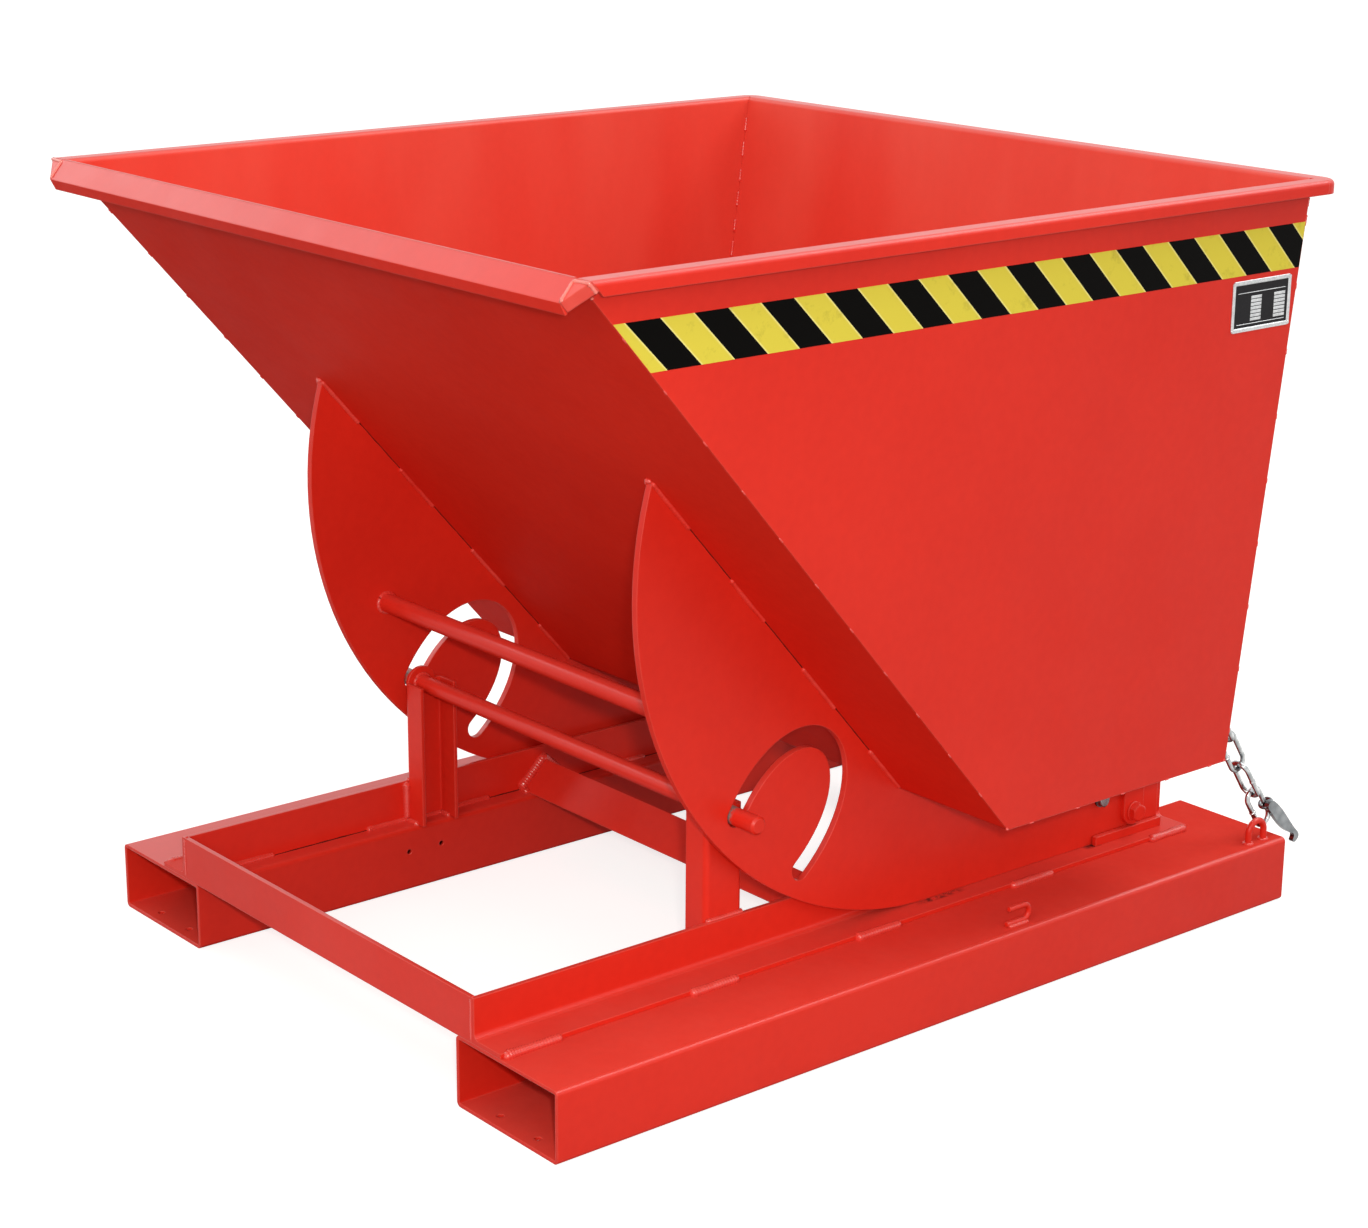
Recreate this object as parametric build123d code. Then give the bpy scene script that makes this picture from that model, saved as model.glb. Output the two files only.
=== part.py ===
from build123d import *
import os
from math import cos, hypot, radians, sin, sqrt

os.makedirs("parts", exist_ok=True)

# Tipping hopper that rolls forward on two rockers over a base with fork pockets.
# Lengths are in millimetres, angles in degrees.
# X runs across, Y from the pouring lip to the back, Z up from the ground.
# Distances named "along" are measured from the front ends of the fork pockets.
origin_to_front = 700.0  # from the middle of the overall length to the pockets' front ends

# Fork pockets: two rectangular tubes that the hopper stands on
pocket_length = 1380.0
pocket_width = 214.0
pocket_height = 100.0
pocket_wall = 5.0
pocket_corner = 7.0
pocket_centres = 856.0
floor_hole_diameter = 10.0
floor_hole_spacing = 80.0
floor_hole_along = 20.0
side_hole_diameter = 8.0
side_hole_spacing = 59.0
side_hole_along = 396.0
side_hole_height = 62.0

# Equal-leg angle bars of the base
angle_leg = 63.0
angle_thickness = 7.0
angle_root = 8.0
rail_setback = 33.0  # of a rail's upright leg from its pocket's inner side
rail_rear_setback = 90.0  # from the pockets' rear ends
ridge_height = 43.0  # of the two cross angles that lie ridge upwards
middle_cross_along = 645.0
rear_cross_setback = 95.0  # from the rails' rear ends

# Guide posts and the rod that runs in the rocker slots
post_depth = 65.0
post_width = 42.0
post_thickness = 5.5
post_bend = 8.0  # outer radius of the posts' folds
post_rise = 3.0  # of the posts' tops above the rod's middle
post_offset = 5.0  # of the posts' middle behind the rod
rod_diameter = 25.0
rod_along = 414.0
rod_height = 317.0
rod_overhang = 47.0  # beyond the rockers' outer faces
rod_chamfer = 3.0
rod_seat_clearance = 0.2
ear_radius = 25.0

# Hopper body: outer profile seen from the side, and sheet thicknesses
hopper_width = 1182.0
hopper_top = 1113.0
hopper_bottom = 288.0
chute_top_along = -10.0
bottom_front_along = 715.0
bottom_rear_setback = 223.0  # from the pockets' rear ends
back_top_setback = 116.0  # from the pockets' rear ends
side_sheet = 3.0
chute_sheet = 3.0
bottom_sheet = 6.0
back_sheet = 5.0
rim_width = 30.0
rim_skirt = 19.0
rim_bend = 7.0
lip_sheet = 4.0
lip_reach = 22.0
lip_drop = 26.0
lip_return = 8.0
lip_return_drop = 15.0
lip_skirt = 16.0  # of the lip's corner pieces, along the chute

# Rockers: plates that roll on the rails, slotted for the guide rod
rocker_thickness = 10.0
rocker_rail_gap = 12.0  # beside the rails' upright legs
rolling_radius = 531.0
rolling_along = 775.0  # contact point at rest
running_gap = 0.3
rocker_rear_setback = 122.0  # from the pockets' rear ends
rocker_rear_height = 215.0
rocker_weld_rise = 42.0  # of its edge on the back wall, above the bottom plate
slot_clearance = 3.0
slot_end_angle = 79.0
slot_steps = 16
tie_diameter = 28.0
tie_along = 370.0
tie_height = 445.0

# Guide bars on the rails, beside the rockers' flat ends
bar_width = 8.0
bar_height = 14.0
bar_length = 143.0
bar_setback = 1.0  # from the rockers' rear ends
bar_gap = 2.0

# Round-ended lugs bolted to the rockers, and a smaller plated bolt ahead of each
lug_thickness = 8.0
lug_width = 42.0
lug_setback = 61.0  # of its middle from the rocker's rear end
lug_rise = 20.0  # of its top above the rocker's rear corner
lug_bar_gap = 2.0
bolt_diameter = 16.0
bolt_head_flats = 24.0
bolt_head_height = 10.0
washer_diameter = 30.0
washer_thickness = 3.0
plated_bolt_diameter = 12.0
plated_head_flats = 19.0
plated_head_height = 7.5
plated_washer_diameter = 24.0
plated_washer_thickness = 2.5
plated_bolt_lead = 67.0  # ahead of the lug bolt
plated_bolt_rise = 32.0  # above the lug bolt
bolt_clearance = 0.3
bolt_point_setback = 1.0  # of a bolt's point inside the rocker plate

# Data plate with its rivets, and the hazard tape
plate_length = 122.0
plate_height = 71.0
plate_thickness = 1.0
plate_drop = 128.0  # of its top below the hopper's
plate_margin = 6.0  # from the side wall's slanted rear edge
rivet_inset = 6.0
rivet_diameter = 4.0
rivet_head_diameter = 7.5
rivet_head_height = 1.2
rivet_clearance = 0.1
tape_drop = 59.0  # of its top below the hopper's
tape_width = 62.0
tape_thickness = 0.4
tape_margin = 1.0

# Rivet that closes the centre hole of the left side wall
centre_rivet_diameter = 8.0
centre_rivet_head = 15.0
centre_rivet_head_height = 2.5

# Eye on the right-hand pocket and the open hook that parks the chain
eye_inset = 19.0  # from the pocket's outer side
eye_lead = 32.0  # ahead of the chain's last bow
eye_rod = 10.0
eye_spacing = 34.0
eye_height = 38.0
park_inset = 20.0  # from the pocket's outer side
park_along = 800.0
park_rod = 8.0
park_lower_leg = 44.0
park_upper_leg = 29.0
park_rise = 22.0

# Safety chain on the back wall
chain_eye_gap = 1.0  # between the last link and the eye beside it
chain_end_rise = 21.0  # of the last bow's middle above the pocket
anchor_rise = 92.0  # above the bottom plate
anchor_reach = 26.0  # from the wall to the middle of the bow
anchor_spacing = 37.0
anchor_rod = 10.0
link_wire = 8.0
link_length = 78.0
link_width = 36.0
link_gap = 0.4
link_count = 5
hook_seat = 44.0  # from the top bow of the last link
hook_ring_radius = 9.0
hook_ring_wire = 6.0
hook_gap = 0.3
hook_arm_thickness = 8.0
hook_arm_gap = 1.0
# Outline of the hook's arm, from the middle of its ring backwards and up
hook_butt = [(-4.5, -7.5), (-7.0, 3.5), (3.5, 6.5)]
hook_upper_edge = [(3.5, 6.5), (23.5, -10.5), (43.5, -33.5), (64.5, -56.5)]
hook_tip = [(64.5, -56.5), (68.5, -65.5), (61.5, -72.5)]
hook_point = [(61.5, -72.5), (57.0, -72.5), (55.5, -68.5)]
hook_throat = [(55.5, -68.5), (57.5, -61.5), (48.5, -55.5)]
hook_lower_edge = [(48.5, -55.5), (32.5, -45.5), (14.5, -28.5), (-4.5, -7.5)]


def along(distance):
    return distance - origin_to_front


def shifted(p, q, distance):
    # The line from p to q moved to its left by the given distance
    length = hypot(q[0] - p[0], q[1] - p[1])
    step = (-(q[1] - p[1]) / length * distance, (q[0] - p[0]) / length * distance)
    return (p[0] + step[0], p[1] + step[1]), (q[0] + step[0], q[1] + step[1])


def crossing(first, second):
    (ax, ay), (bx, by) = first
    (cx, cy), (dx, dy) = second
    share = ((cx - ax) * (dy - cy) - (cy - ay) * (dx - cx)) / ((bx - ax) * (dy - cy) - (by - ay) * (dx - cx))
    return (ax + share * (bx - ax), ay + share * (by - ay))


def at_height(p, q, height):
    return (p[0] + (q[0] - p[0]) * (height - p[1]) / (q[1] - p[1]), height)


def polygon(points):
    return make_face(Polyline(*points, close=True))


def rounded(section, corners, radii):
    for corner, radius in zip(corners, radii):
        vertex = section.vertices().sort_by_distance(Vector(*corner))[0]
        section = fillet(vertex, radius)
    return section


def across(outline, x_from, x_to):
    # A side-view outline in Y and Z, given its width across
    return extrude(Plane.YZ.offset(x_from) * outline, x_to - x_from)


def cross_rod(y, z, x_from, x_to, diameter):
    return across(Pos(y, z) * Circle(diameter / 2), x_from, x_to)


def bent_rod(edges, diameter):
    path = Wire(edges)
    start = Plane(origin=path @ 0, z_dir=path % 0)
    return sweep(start * Circle(diameter / 2), path=path)


def mirrored(solid):
    return mirror(solid, about=Plane.YZ)


nodes = {}


def add_pair(name, right_hand):
    nodes[name + "_right"] = right_hand
    nodes[name + "_left"] = mirrored(right_hand)


# Places that several pieces share
pocket_front = along(0)
pocket_rear = along(pocket_length)
pocket_side = pocket_centres / 2
pocket_inner_side = pocket_side - pocket_width / 2
pocket_outer_side = pocket_side + pocket_width / 2
rail_inside = pocket_inner_side + rail_setback
rail_length = pocket_length - rail_rear_setback
rail_top = pocket_height + angle_thickness
rod_y = along(rod_along)
half_width = hopper_width / 2
inner_half = half_width - side_sheet
rocker_inside = rail_inside + angle_thickness + rocker_rail_gap
rocker_outside = rocker_inside + rocker_thickness
rocker_rear = pocket_rear - rocker_rear_setback
centre = (along(rolling_along), rail_top + rolling_radius)

# Hopper profile, counter-clockwise from the top of the chute
chute_top = (along(chute_top_along), hopper_top)
front_foot = (along(bottom_front_along), hopper_bottom)
rear_foot = (pocket_rear - bottom_rear_setback, hopper_bottom)
back_top = (pocket_rear - back_top_setback, hopper_top)
chute_inner = shifted(chute_top, front_foot, chute_sheet)
bottom_inner = shifted(front_foot, rear_foot, bottom_sheet)
back_inner = shifted(rear_foot, back_top, back_sheet)
inner_front_foot = crossing(chute_inner, bottom_inner)
inner_rear_foot = crossing(bottom_inner, back_inner)


def fork_pocket():
    section = RectangleRounded(pocket_width, pocket_height, pocket_corner)
    section -= RectangleRounded(
        pocket_width - 2 * pocket_wall, pocket_height - 2 * pocket_wall, pocket_corner - pocket_wall
    )
    front = Plane(origin=(pocket_side, pocket_front, pocket_height / 2), x_dir=(1, 0, 0), z_dir=(0, 1, 0))
    tube = extrude(front * section, pocket_length)
    for side in (-1, 1):
        floor_x = pocket_side + side * floor_hole_spacing / 2
        tube -= Pos(floor_x, along(floor_hole_along), pocket_wall / 2) * Cylinder(
            floor_hole_diameter / 2, 2 * pocket_wall
        )
        side_y = along(side_hole_along) + side * side_hole_spacing / 2
        through = (pocket_inner_side - pocket_wall, pocket_inner_side + 2 * pocket_wall)
        tube -= cross_rod(side_y, side_hole_height, *through, side_hole_diameter)
    return tube


def angle_section():
    # Corner at the origin, legs along +X and +Y
    points = [
        (0, 0),
        (angle_leg, 0),
        (angle_leg, angle_thickness),
        (angle_thickness, angle_thickness),
        (angle_thickness, angle_leg),
        (0, angle_leg),
    ]
    return rounded(polygon(points), [(angle_thickness, angle_thickness)], [angle_root])


def rail():
    # The legs run outwards along the pocket and upwards
    corner = (rail_inside, along(rail_length), pocket_height)
    rear_end = Plane(origin=corner, x_dir=(1, 0, 0), z_dir=(0, -1, 0))
    return extrude(rear_end * angle_section(), rail_length)


def front_cross_angle():
    # One leg stands at the pockets' front ends, the other lies back on them
    left_end = Plane(origin=(-rail_inside, pocket_front, pocket_height), x_dir=(0, 1, 0), z_dir=(1, 0, 0))
    return extrude(left_end * angle_section(), 2 * rail_inside)


def ridge_angle(ridge_along):
    ridge_y = along(ridge_along)
    slant = angle_thickness * sqrt(2)
    roof = polygon(
        [
            (ridge_y - ridge_height, pocket_height),
            (ridge_y - ridge_height + slant, pocket_height),
            (ridge_y, pocket_height + ridge_height - slant),
            (ridge_y + ridge_height - slant, pocket_height),
            (ridge_y + ridge_height, pocket_height),
            (ridge_y, pocket_height + ridge_height),
        ]
    )
    return across(roof, -rail_inside, rail_inside)


def guide_post():
    # A channel with its web against the rail and its legs towards the middle
    middle_y = rod_y + post_offset
    web_inside = rail_inside - post_thickness
    leg_inside = rail_inside - post_width
    channel = Pos((leg_inside + rail_inside) / 2, middle_y) * Rectangle(post_width, post_depth)
    channel -= Pos((leg_inside + web_inside) / 2, middle_y) * Rectangle(
        web_inside - leg_inside, post_depth - 2 * post_thickness
    )
    for side in (-1, 1):
        outer_fold = (rail_inside, middle_y + side * post_depth / 2)
        inner_fold = (web_inside, middle_y + side * (post_depth / 2 - post_thickness))
        channel = rounded(channel, [outer_fold, inner_fold], [post_bend, post_bend - post_thickness])
    post = extrude(Pos(0, 0, pocket_height) * channel, rod_height + post_rise - pocket_height)
    post += cross_rod(rod_y, rod_height, web_inside, rail_inside, 2 * ear_radius)
    return post - cross_rod(rod_y, rod_height, leg_inside, rail_inside, rod_diameter + 2 * rod_seat_clearance)


def guide_rod():
    end = rocker_outside + rod_overhang
    rod = cross_rod(rod_y, rod_height, -end, end, rod_diameter)
    return chamfer(rod.edges().filter_by(GeomType.CIRCLE), rod_chamfer)


def guide_bar():
    inner = rocker_outside + bar_gap
    middle = rocker_rear - bar_setback - bar_length / 2
    bar = Pos(middle, rail_top + bar_height / 2) * Rectangle(bar_length, bar_height)
    return across(bar, inner, inner + bar_width)


def park_hook():
    low = pocket_height + park_rod / 2
    high = low + park_rise
    bend = along(park_along) + park_lower_leg - park_rise / 2
    middle = (park_x, bend + park_rise / 2, low + park_rise / 2)
    return bent_rod(
        [
            Edge.make_line((park_x, along(park_along), low), (park_x, bend, low)),
            Edge.make_three_point_arc((park_x, bend, low), middle, (park_x, bend, high)),
            Edge.make_line((park_x, bend, high), (park_x, bend - park_upper_leg, high)),
        ],
        park_rod,
    )


plate_bottom = hopper_top - plate_drop - plate_height
plate_middle = (
    at_height(rear_foot, back_top, plate_bottom)[0] - plate_margin - plate_length / 2,
    plate_bottom + plate_height / 2,
)


def plate_rivet_places():
    reach_y = plate_length / 2 - rivet_inset
    reach_z = plate_height / 2 - rivet_inset
    return [
        (plate_middle[0] + side * reach_y, plate_middle[1] + rise * reach_z)
        for side in (-1, 1)
        for rise in (-1, 1)
    ]


def side_wall():
    # Upright sheet with its rim folded outwards and down
    rim_edge = half_width + rim_width
    rim_under = hopper_top - side_sheet
    corners = [
        (half_width, rim_under),
        (rim_edge - side_sheet, rim_under),
        (rim_edge, hopper_top),
        (inner_half, hopper_top),
    ]
    section = polygon(
        [
            (inner_half, hopper_bottom),
            (half_width, hopper_bottom),
            corners[0],
            corners[1],
            (rim_edge - side_sheet, hopper_top - rim_skirt),
            (rim_edge, hopper_top - rim_skirt),
            corners[2],
            corners[3],
        ]
    )
    section = rounded(section, corners, [rim_bend - side_sheet] * 2 + [rim_bend] * 2)
    rear_end = Plane(origin=(0, back_top[0], 0), x_dir=(1, 0, 0), z_dir=(0, -1, 0))
    folded = extrude(rear_end * section, back_top[0] - chute_top[0])
    profile = polygon([chute_top, front_foot, rear_foot, back_top])
    rim_view = polygon([chute_top, front_foot, (back_top[0], hopper_bottom), back_top])
    sheet = folded & across(profile, inner_half, half_width)
    return sheet + (folded & across(rim_view, half_width, rim_edge))


def right_side_wall():
    wall = side_wall()
    for y, z in plate_rivet_places():
        wall -= cross_rod(y, z, inner_half, half_width, rivet_diameter + 2 * rivet_clearance)
    return wall


def left_side_wall():
    hole = centre_rivet_diameter + 2 * running_gap
    return mirrored(side_wall()) - cross_rod(*centre, -half_width, -inner_half, hole)


def chute_wall():
    inner_top = at_height(*chute_inner, hopper_top)
    return across(polygon([chute_top, front_foot, inner_front_foot, inner_top]), -inner_half, inner_half)


def bottom_plate():
    section = polygon([front_foot, rear_foot, inner_rear_foot, inner_front_foot])
    return across(section, -inner_half, inner_half)


def back_wall():
    # Leaning sheet with its rim folded outwards and down
    rim_under = hopper_top - back_sheet
    rim_edge = back_top[0] + rim_width
    corners = [
        at_height(rear_foot, back_top, rim_under),
        (rim_edge - back_sheet, rim_under),
        (rim_edge, hopper_top),
        at_height(*back_inner, hopper_top),
    ]
    section = polygon(
        [
            rear_foot,
            corners[0],
            corners[1],
            (rim_edge - back_sheet, hopper_top - rim_skirt),
            (rim_edge, hopper_top - rim_skirt),
            corners[2],
            corners[3],
            inner_rear_foot,
        ]
    )
    section = rounded(section, corners, [rim_bend - back_sheet] * 2 + [rim_bend] * 2)
    return across(section, -inner_half, inner_half)


lip_edge = (chute_top[0] - lip_reach, chute_top[1] - lip_drop)
lip_end = (lip_edge[0] + lip_return, lip_edge[1] - lip_return_drop)


def front_lip():
    # Strip folded forwards over the chute's top edge and returned
    slope_inside = shifted(chute_top, lip_edge, lip_sheet)
    return_inside = shifted(lip_edge, lip_end, lip_sheet)
    section = polygon(
        [
            chute_top,
            lip_edge,
            lip_end,
            return_inside[1],
            crossing(slope_inside, return_inside),
            crossing(slope_inside, (chute_top, front_foot)),
        ]
    )
    return across(section, -half_width, half_width)


def lip_corner():
    # Triangular sheet beside the lip, with a skirt that runs back along the chute
    slope = hypot(lip_reach, lip_drop)
    plane = Plane(
        origin=(half_width, *chute_top), x_dir=(1, 0, 0), z_dir=(0, lip_drop / slope, -lip_reach / slope)
    )
    outline = polygon([(0, 0), (rim_width, 0), (0, slope)])
    band = side_sheet * hypot(rim_width, slope) / slope
    outer_edge = polygon([(rim_width - band, 0), (rim_width, 0), (0, slope), (-band, slope)])
    down_chute = Vector(0, front_foot[0] - chute_top[0], front_foot[1] - chute_top[1]).normalized()
    cap = extrude(plane * outline, side_sheet)
    cap += extrude(plane * (outline & outer_edge), lip_skirt, dir=down_chute)
    behind = polygon([chute_top, front_foot, (front_foot[0], hopper_top)])
    return cap - across(behind, half_width, half_width + rim_width)


def rim_corner():
    # Quarter turn of the folded rim, with a strip that reaches the back wall's end
    rim_under = hopper_top - side_sheet
    corners = [(rim_width - side_sheet, rim_under), (rim_width, hopper_top)]
    section = polygon(
        [
            (0, rim_under),
            corners[0],
            (rim_width - side_sheet, hopper_top - rim_skirt),
            (rim_width, hopper_top - rim_skirt),
            corners[1],
            (0, hopper_top),
        ]
    )
    section = rounded(section, corners, [rim_bend - side_sheet, rim_bend])
    turn = revolve(Plane.XZ * section, Axis.Z, 90)
    return Pos(half_width, back_top[0], 0) * (turn + across(section, -side_sheet, 0))


def slot_point(angle, offset):
    # Place of the guide rod in the rocker after it has rolled by the angle
    turn = radians(angle)
    ahead = centre[0] - rod_y - rolling_radius * turn
    below = centre[1] - rod_height
    y = centre[0] - ahead * cos(turn) - below * sin(turn)
    z = centre[1] + ahead * sin(turn) - below * cos(turn)
    run_y = (rolling_radius - below) * cos(turn) + ahead * sin(turn)
    run_z = (below - rolling_radius) * sin(turn) + ahead * cos(turn)
    speed = hypot(run_y, run_z)
    return (y - offset * run_z / speed, z + offset * run_y / speed), (run_y / speed, run_z / speed)


def rocker_slot():
    half = rod_diameter / 2 + slot_clearance
    angles = [slot_end_angle * step / slot_steps for step in range(slot_steps + 1)]
    upper = [slot_point(angle, half)[0] for angle in angles]
    lower = [slot_point(angle, -half)[0] for angle in angles]
    start, start_run = slot_point(0, 0)
    end, end_run = slot_point(slot_end_angle, 0)
    start_tip = (start[0] - half * start_run[0], start[1] - half * start_run[1])
    end_tip = (end[0] + half * end_run[0], end[1] + half * end_run[1])
    return make_face(
        [
            Spline(*upper),
            ThreePointArc(upper[-1], end_tip, lower[-1]),
            Spline(*lower),
            ThreePointArc(lower[0], start_tip, upper[0]),
        ]
    )


def rocker():
    radius = rolling_radius - running_gap
    chute_length = hypot(chute_top[0] - front_foot[0], chute_top[1] - front_foot[1])
    run = ((chute_top[0] - front_foot[0]) / chute_length, (chute_top[1] - front_foot[1]) / chute_length)
    lever = (front_foot[0] - centre[0], front_foot[1] - centre[1])
    half_sum = lever[0] * run[0] + lever[1] * run[1]
    tip_distance = sqrt(half_sum ** 2 - hypot(*lever) ** 2 + radius ** 2) - half_sum
    tip = (front_foot[0] + tip_distance * run[0], front_foot[1] + tip_distance * run[1])
    lowest = (centre[0], centre[1] - radius)
    chord = ((tip[0] + lowest[0]) / 2 - centre[0], (tip[1] + lowest[1]) / 2 - centre[1])
    stretch = radius / hypot(*chord)
    arc_middle = (centre[0] + stretch * chord[0], centre[1] + stretch * chord[1])
    weld_end = at_height(rear_foot, back_top, hopper_bottom + rocker_weld_rise)
    outline = make_face(
        [
            ThreePointArc(tip, arc_middle, lowest),
            Polyline(
                lowest,
                (rocker_rear, lowest[1]),
                (rocker_rear, rocker_rear_height),
                weld_end,
                rear_foot,
                front_foot,
                tip,
            ),
        ]
    )
    plate = across(outline - rocker_slot(), rocker_inside, rocker_outside)
    for y, z, diameter in ((lug_y, lug_z, bolt_diameter), (plated_y, plated_z, plated_bolt_diameter)):
        plate -= cross_rod(y, z, rocker_inside, rocker_outside, diameter + 2 * bolt_clearance)
    return plate


lug_y = rocker_rear - lug_setback
lug_z = rail_top + bar_height + lug_bar_gap + lug_width / 2
plated_y = lug_y - plated_bolt_lead
plated_z = lug_z + plated_bolt_rise


def tie_rod():
    return cross_rod(along(tie_along), tie_height, -rocker_inside, rocker_inside, tie_diameter)


def rear_lug():
    straight = rocker_rear_height + lug_rise - lug_z
    outline = Pos(lug_y, lug_z) * Circle(lug_width / 2)
    outline += Pos(lug_y, lug_z + straight / 2) * Rectangle(lug_width, straight)
    outline -= Pos(lug_y, lug_z) * Circle(bolt_diameter / 2 + bolt_clearance)
    return across(outline, rocker_outside, rocker_outside + lug_thickness)


def washer(y, z, face, inner, outer, thickness):
    ring = Circle(outer / 2) - Circle(inner / 2 + bolt_clearance)
    return across(Pos(y, z) * ring, face, face + thickness)


def hex_bolt(y, z, face, diameter, flats, head_height):
    head = across(Pos(y, z) * RegularPolygon(flats / sqrt(3), 6), face, face + head_height)
    point = rocker_inside + bolt_point_setback
    return head + cross_rod(y, z, point, face, diameter)


def both_sides(solid):
    return Compound([solid, mirrored(solid)])


def data_plate():
    face = Pos(*plate_middle) * Rectangle(plate_length, plate_height)
    for y, z in plate_rivet_places():
        face -= Pos(y, z) * Circle(rivet_diameter / 2 + rivet_clearance)
    return across(face, half_width, half_width + plate_thickness)


def data_plate_rivets():
    face = half_width + plate_thickness
    return Compound(
        [
            cross_rod(y, z, inner_half, face, rivet_diameter)
            + cross_rod(y, z, face, face + rivet_head_height, rivet_head_diameter)
            for y, z in plate_rivet_places()
        ]
    )


def hazard_tape():
    top = hopper_top - tape_drop
    tape_bottom = top - tape_width
    corners = [
        (at_height(chute_top, front_foot, tape_bottom)[0] + tape_margin, tape_bottom),
        (at_height(rear_foot, back_top, tape_bottom)[0] - tape_margin, tape_bottom),
        (at_height(rear_foot, back_top, top)[0] - tape_margin, top),
        (at_height(chute_top, front_foot, top)[0] + tape_margin, top),
    ]
    return across(polygon(corners), half_width, half_width + tape_thickness)


def centre_rivet():
    outer_face = -half_width - running_gap
    inner_face = -inner_half + running_gap
    rivet = cross_rod(*centre, outer_face, inner_face, centre_rivet_diameter)
    rivet += cross_rod(*centre, outer_face - centre_rivet_head_height, outer_face, centre_rivet_head)
    return rivet + cross_rod(*centre, inner_face, inner_face + centre_rivet_head_height, centre_rivet_head)


across_x = Vector(1, 0, 0)
link_bows = link_length - link_wire  # between the middles of a link's two bows
link_pitch = link_length - 2 * link_wire - link_gap
bow_seat = anchor_rod / 2 + link_wire / 2 + link_gap
eye_x = pocket_outer_side - eye_inset
park_x = pocket_outer_side - park_inset
chain_x = eye_x - eye_rod / 2 - chain_eye_gap - link_wire / 2
wall_length = hypot(back_top[0] - rear_foot[0], back_top[1] - rear_foot[1])
wall_up = Vector(0, (back_top[0] - rear_foot[0]) / wall_length, (back_top[1] - rear_foot[1]) / wall_length)
wall_out = Vector(0, wall_up.Z, -wall_up.Y)
anchor_foot = Vector(chain_x, *at_height(rear_foot, back_top, hopper_bottom + anchor_rise))
anchor_bow = anchor_foot + wall_out * anchor_reach

# Directions of the chain: down its run to the pocket, and square to that towards the back
chain_length = link_pitch * (link_count - 1) + link_bows - bow_seat
run_down = (anchor_bow.Z - pocket_height - chain_end_rise) / chain_length
run_back = sqrt(1 - run_down ** 2)
chain_run = Vector(0, run_back, -run_down)
chain_square = Vector(0, run_down, run_back)
first_bow = anchor_bow - chain_run * bow_seat
eye_y = (anchor_bow + chain_run * chain_length).Y - eye_lead


def link_top(number):
    # Middle of the upper bow of a link, counted from 1
    return first_bow + chain_run * (link_pitch * (number - 1))


def link_side(number):
    # Odd links stand square to X, even ones lie along it
    return chain_square if number % 2 else across_x


def chain_eye():
    leg = eye_height - eye_rod / 2 - eye_spacing / 2
    left_leg = eye_y - eye_spacing / 2
    right_leg = eye_y + eye_spacing / 2
    shoulder = pocket_height + leg
    crown = (eye_x, eye_y, shoulder + eye_spacing / 2)
    return bent_rod(
        [
            Edge.make_line((eye_x, left_leg, pocket_height), (eye_x, left_leg, shoulder)),
            Edge.make_three_point_arc((eye_x, left_leg, shoulder), crown, (eye_x, right_leg, shoulder)),
            Edge.make_line((eye_x, right_leg, shoulder), (eye_x, right_leg, pocket_height)),
        ],
        eye_rod,
    )


def chain_anchor():
    shoulder = wall_out * (anchor_reach - anchor_spacing / 2)
    side = across_x * (anchor_spacing / 2)
    left, right = anchor_foot - side, anchor_foot + side
    return bent_rod(
        [
            Edge.make_line(left, left + shoulder),
            Edge.make_three_point_arc(left + shoulder, anchor_bow, right + shoulder),
            Edge.make_line(right + shoulder, right),
        ],
        anchor_rod,
    )


def chain_link(number):
    side = link_side(number) * ((link_width - link_wire) / 2)
    bow = (link_width - link_wire) / 2
    top = link_top(number)
    bottom = top + chain_run * link_bows
    upper = top + chain_run * bow
    lower = bottom - chain_run * bow
    return bent_rod(
        [
            Edge.make_line(upper + side, lower + side),
            Edge.make_three_point_arc(lower + side, bottom, lower - side),
            Edge.make_line(lower - side, upper - side),
            Edge.make_three_point_arc(upper - side, top, upper + side),
        ],
        link_wire,
    )


hook_wire_middle = (
    link_top(link_count) + chain_run * hook_seat + chain_square * ((link_width - link_wire) / 2)
)
hook_pivot = hook_wire_middle - chain_square * (link_wire / 2 + hook_gap + hook_ring_wire / 2)
hook_ring_middle = hook_pivot + chain_square * hook_ring_radius


def chain_hook():
    ring_plane = Plane(origin=hook_ring_middle, x_dir=across_x, z_dir=chain_run)
    ring = Location(ring_plane) * Torus(hook_ring_radius, hook_ring_wire / 2)

    def placed(points):
        return [(hook_ring_middle.Y + y, hook_ring_middle.Z + z) for y, z in points]

    arm = make_face(
        [
            ThreePointArc(*placed(hook_butt)),
            Spline(*placed(hook_upper_edge)),
            Spline(*placed(hook_tip)),
            ThreePointArc(*placed(hook_point)),
            Spline(*placed(hook_throat)),
            Spline(*placed(hook_lower_edge)),
        ]
    )
    arm_from = chain_x + link_wire / 2 + hook_arm_gap
    return ring + across(arm, arm_from, arm_from + hook_arm_thickness)


add_pair("fork_pocket", fork_pocket())
add_pair("rail", rail())
nodes["front_cross_angle"] = front_cross_angle()
nodes["middle_cross_angle"] = ridge_angle(middle_cross_along)
nodes["rear_cross_angle"] = ridge_angle(rail_length - rear_cross_setback)
add_pair("guide_post", guide_post())
nodes["guide_rod"] = guide_rod()
add_pair("guide_bar", guide_bar())
nodes["chain_eye"] = chain_eye()
nodes["park_hook"] = park_hook()

nodes["chute_wall"] = chute_wall()
nodes["bottom_plate"] = bottom_plate()
nodes["back_wall"] = back_wall()
nodes["side_wall_right"] = right_side_wall()
nodes["side_wall_left"] = left_side_wall()
nodes["front_lip"] = front_lip()
add_pair("lip_corner", lip_corner())
add_pair("rim_corner", rim_corner())
add_pair("rocker", rocker())
nodes["tie_rod"] = tie_rod()
add_pair("rear_lug", rear_lug())

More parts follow.
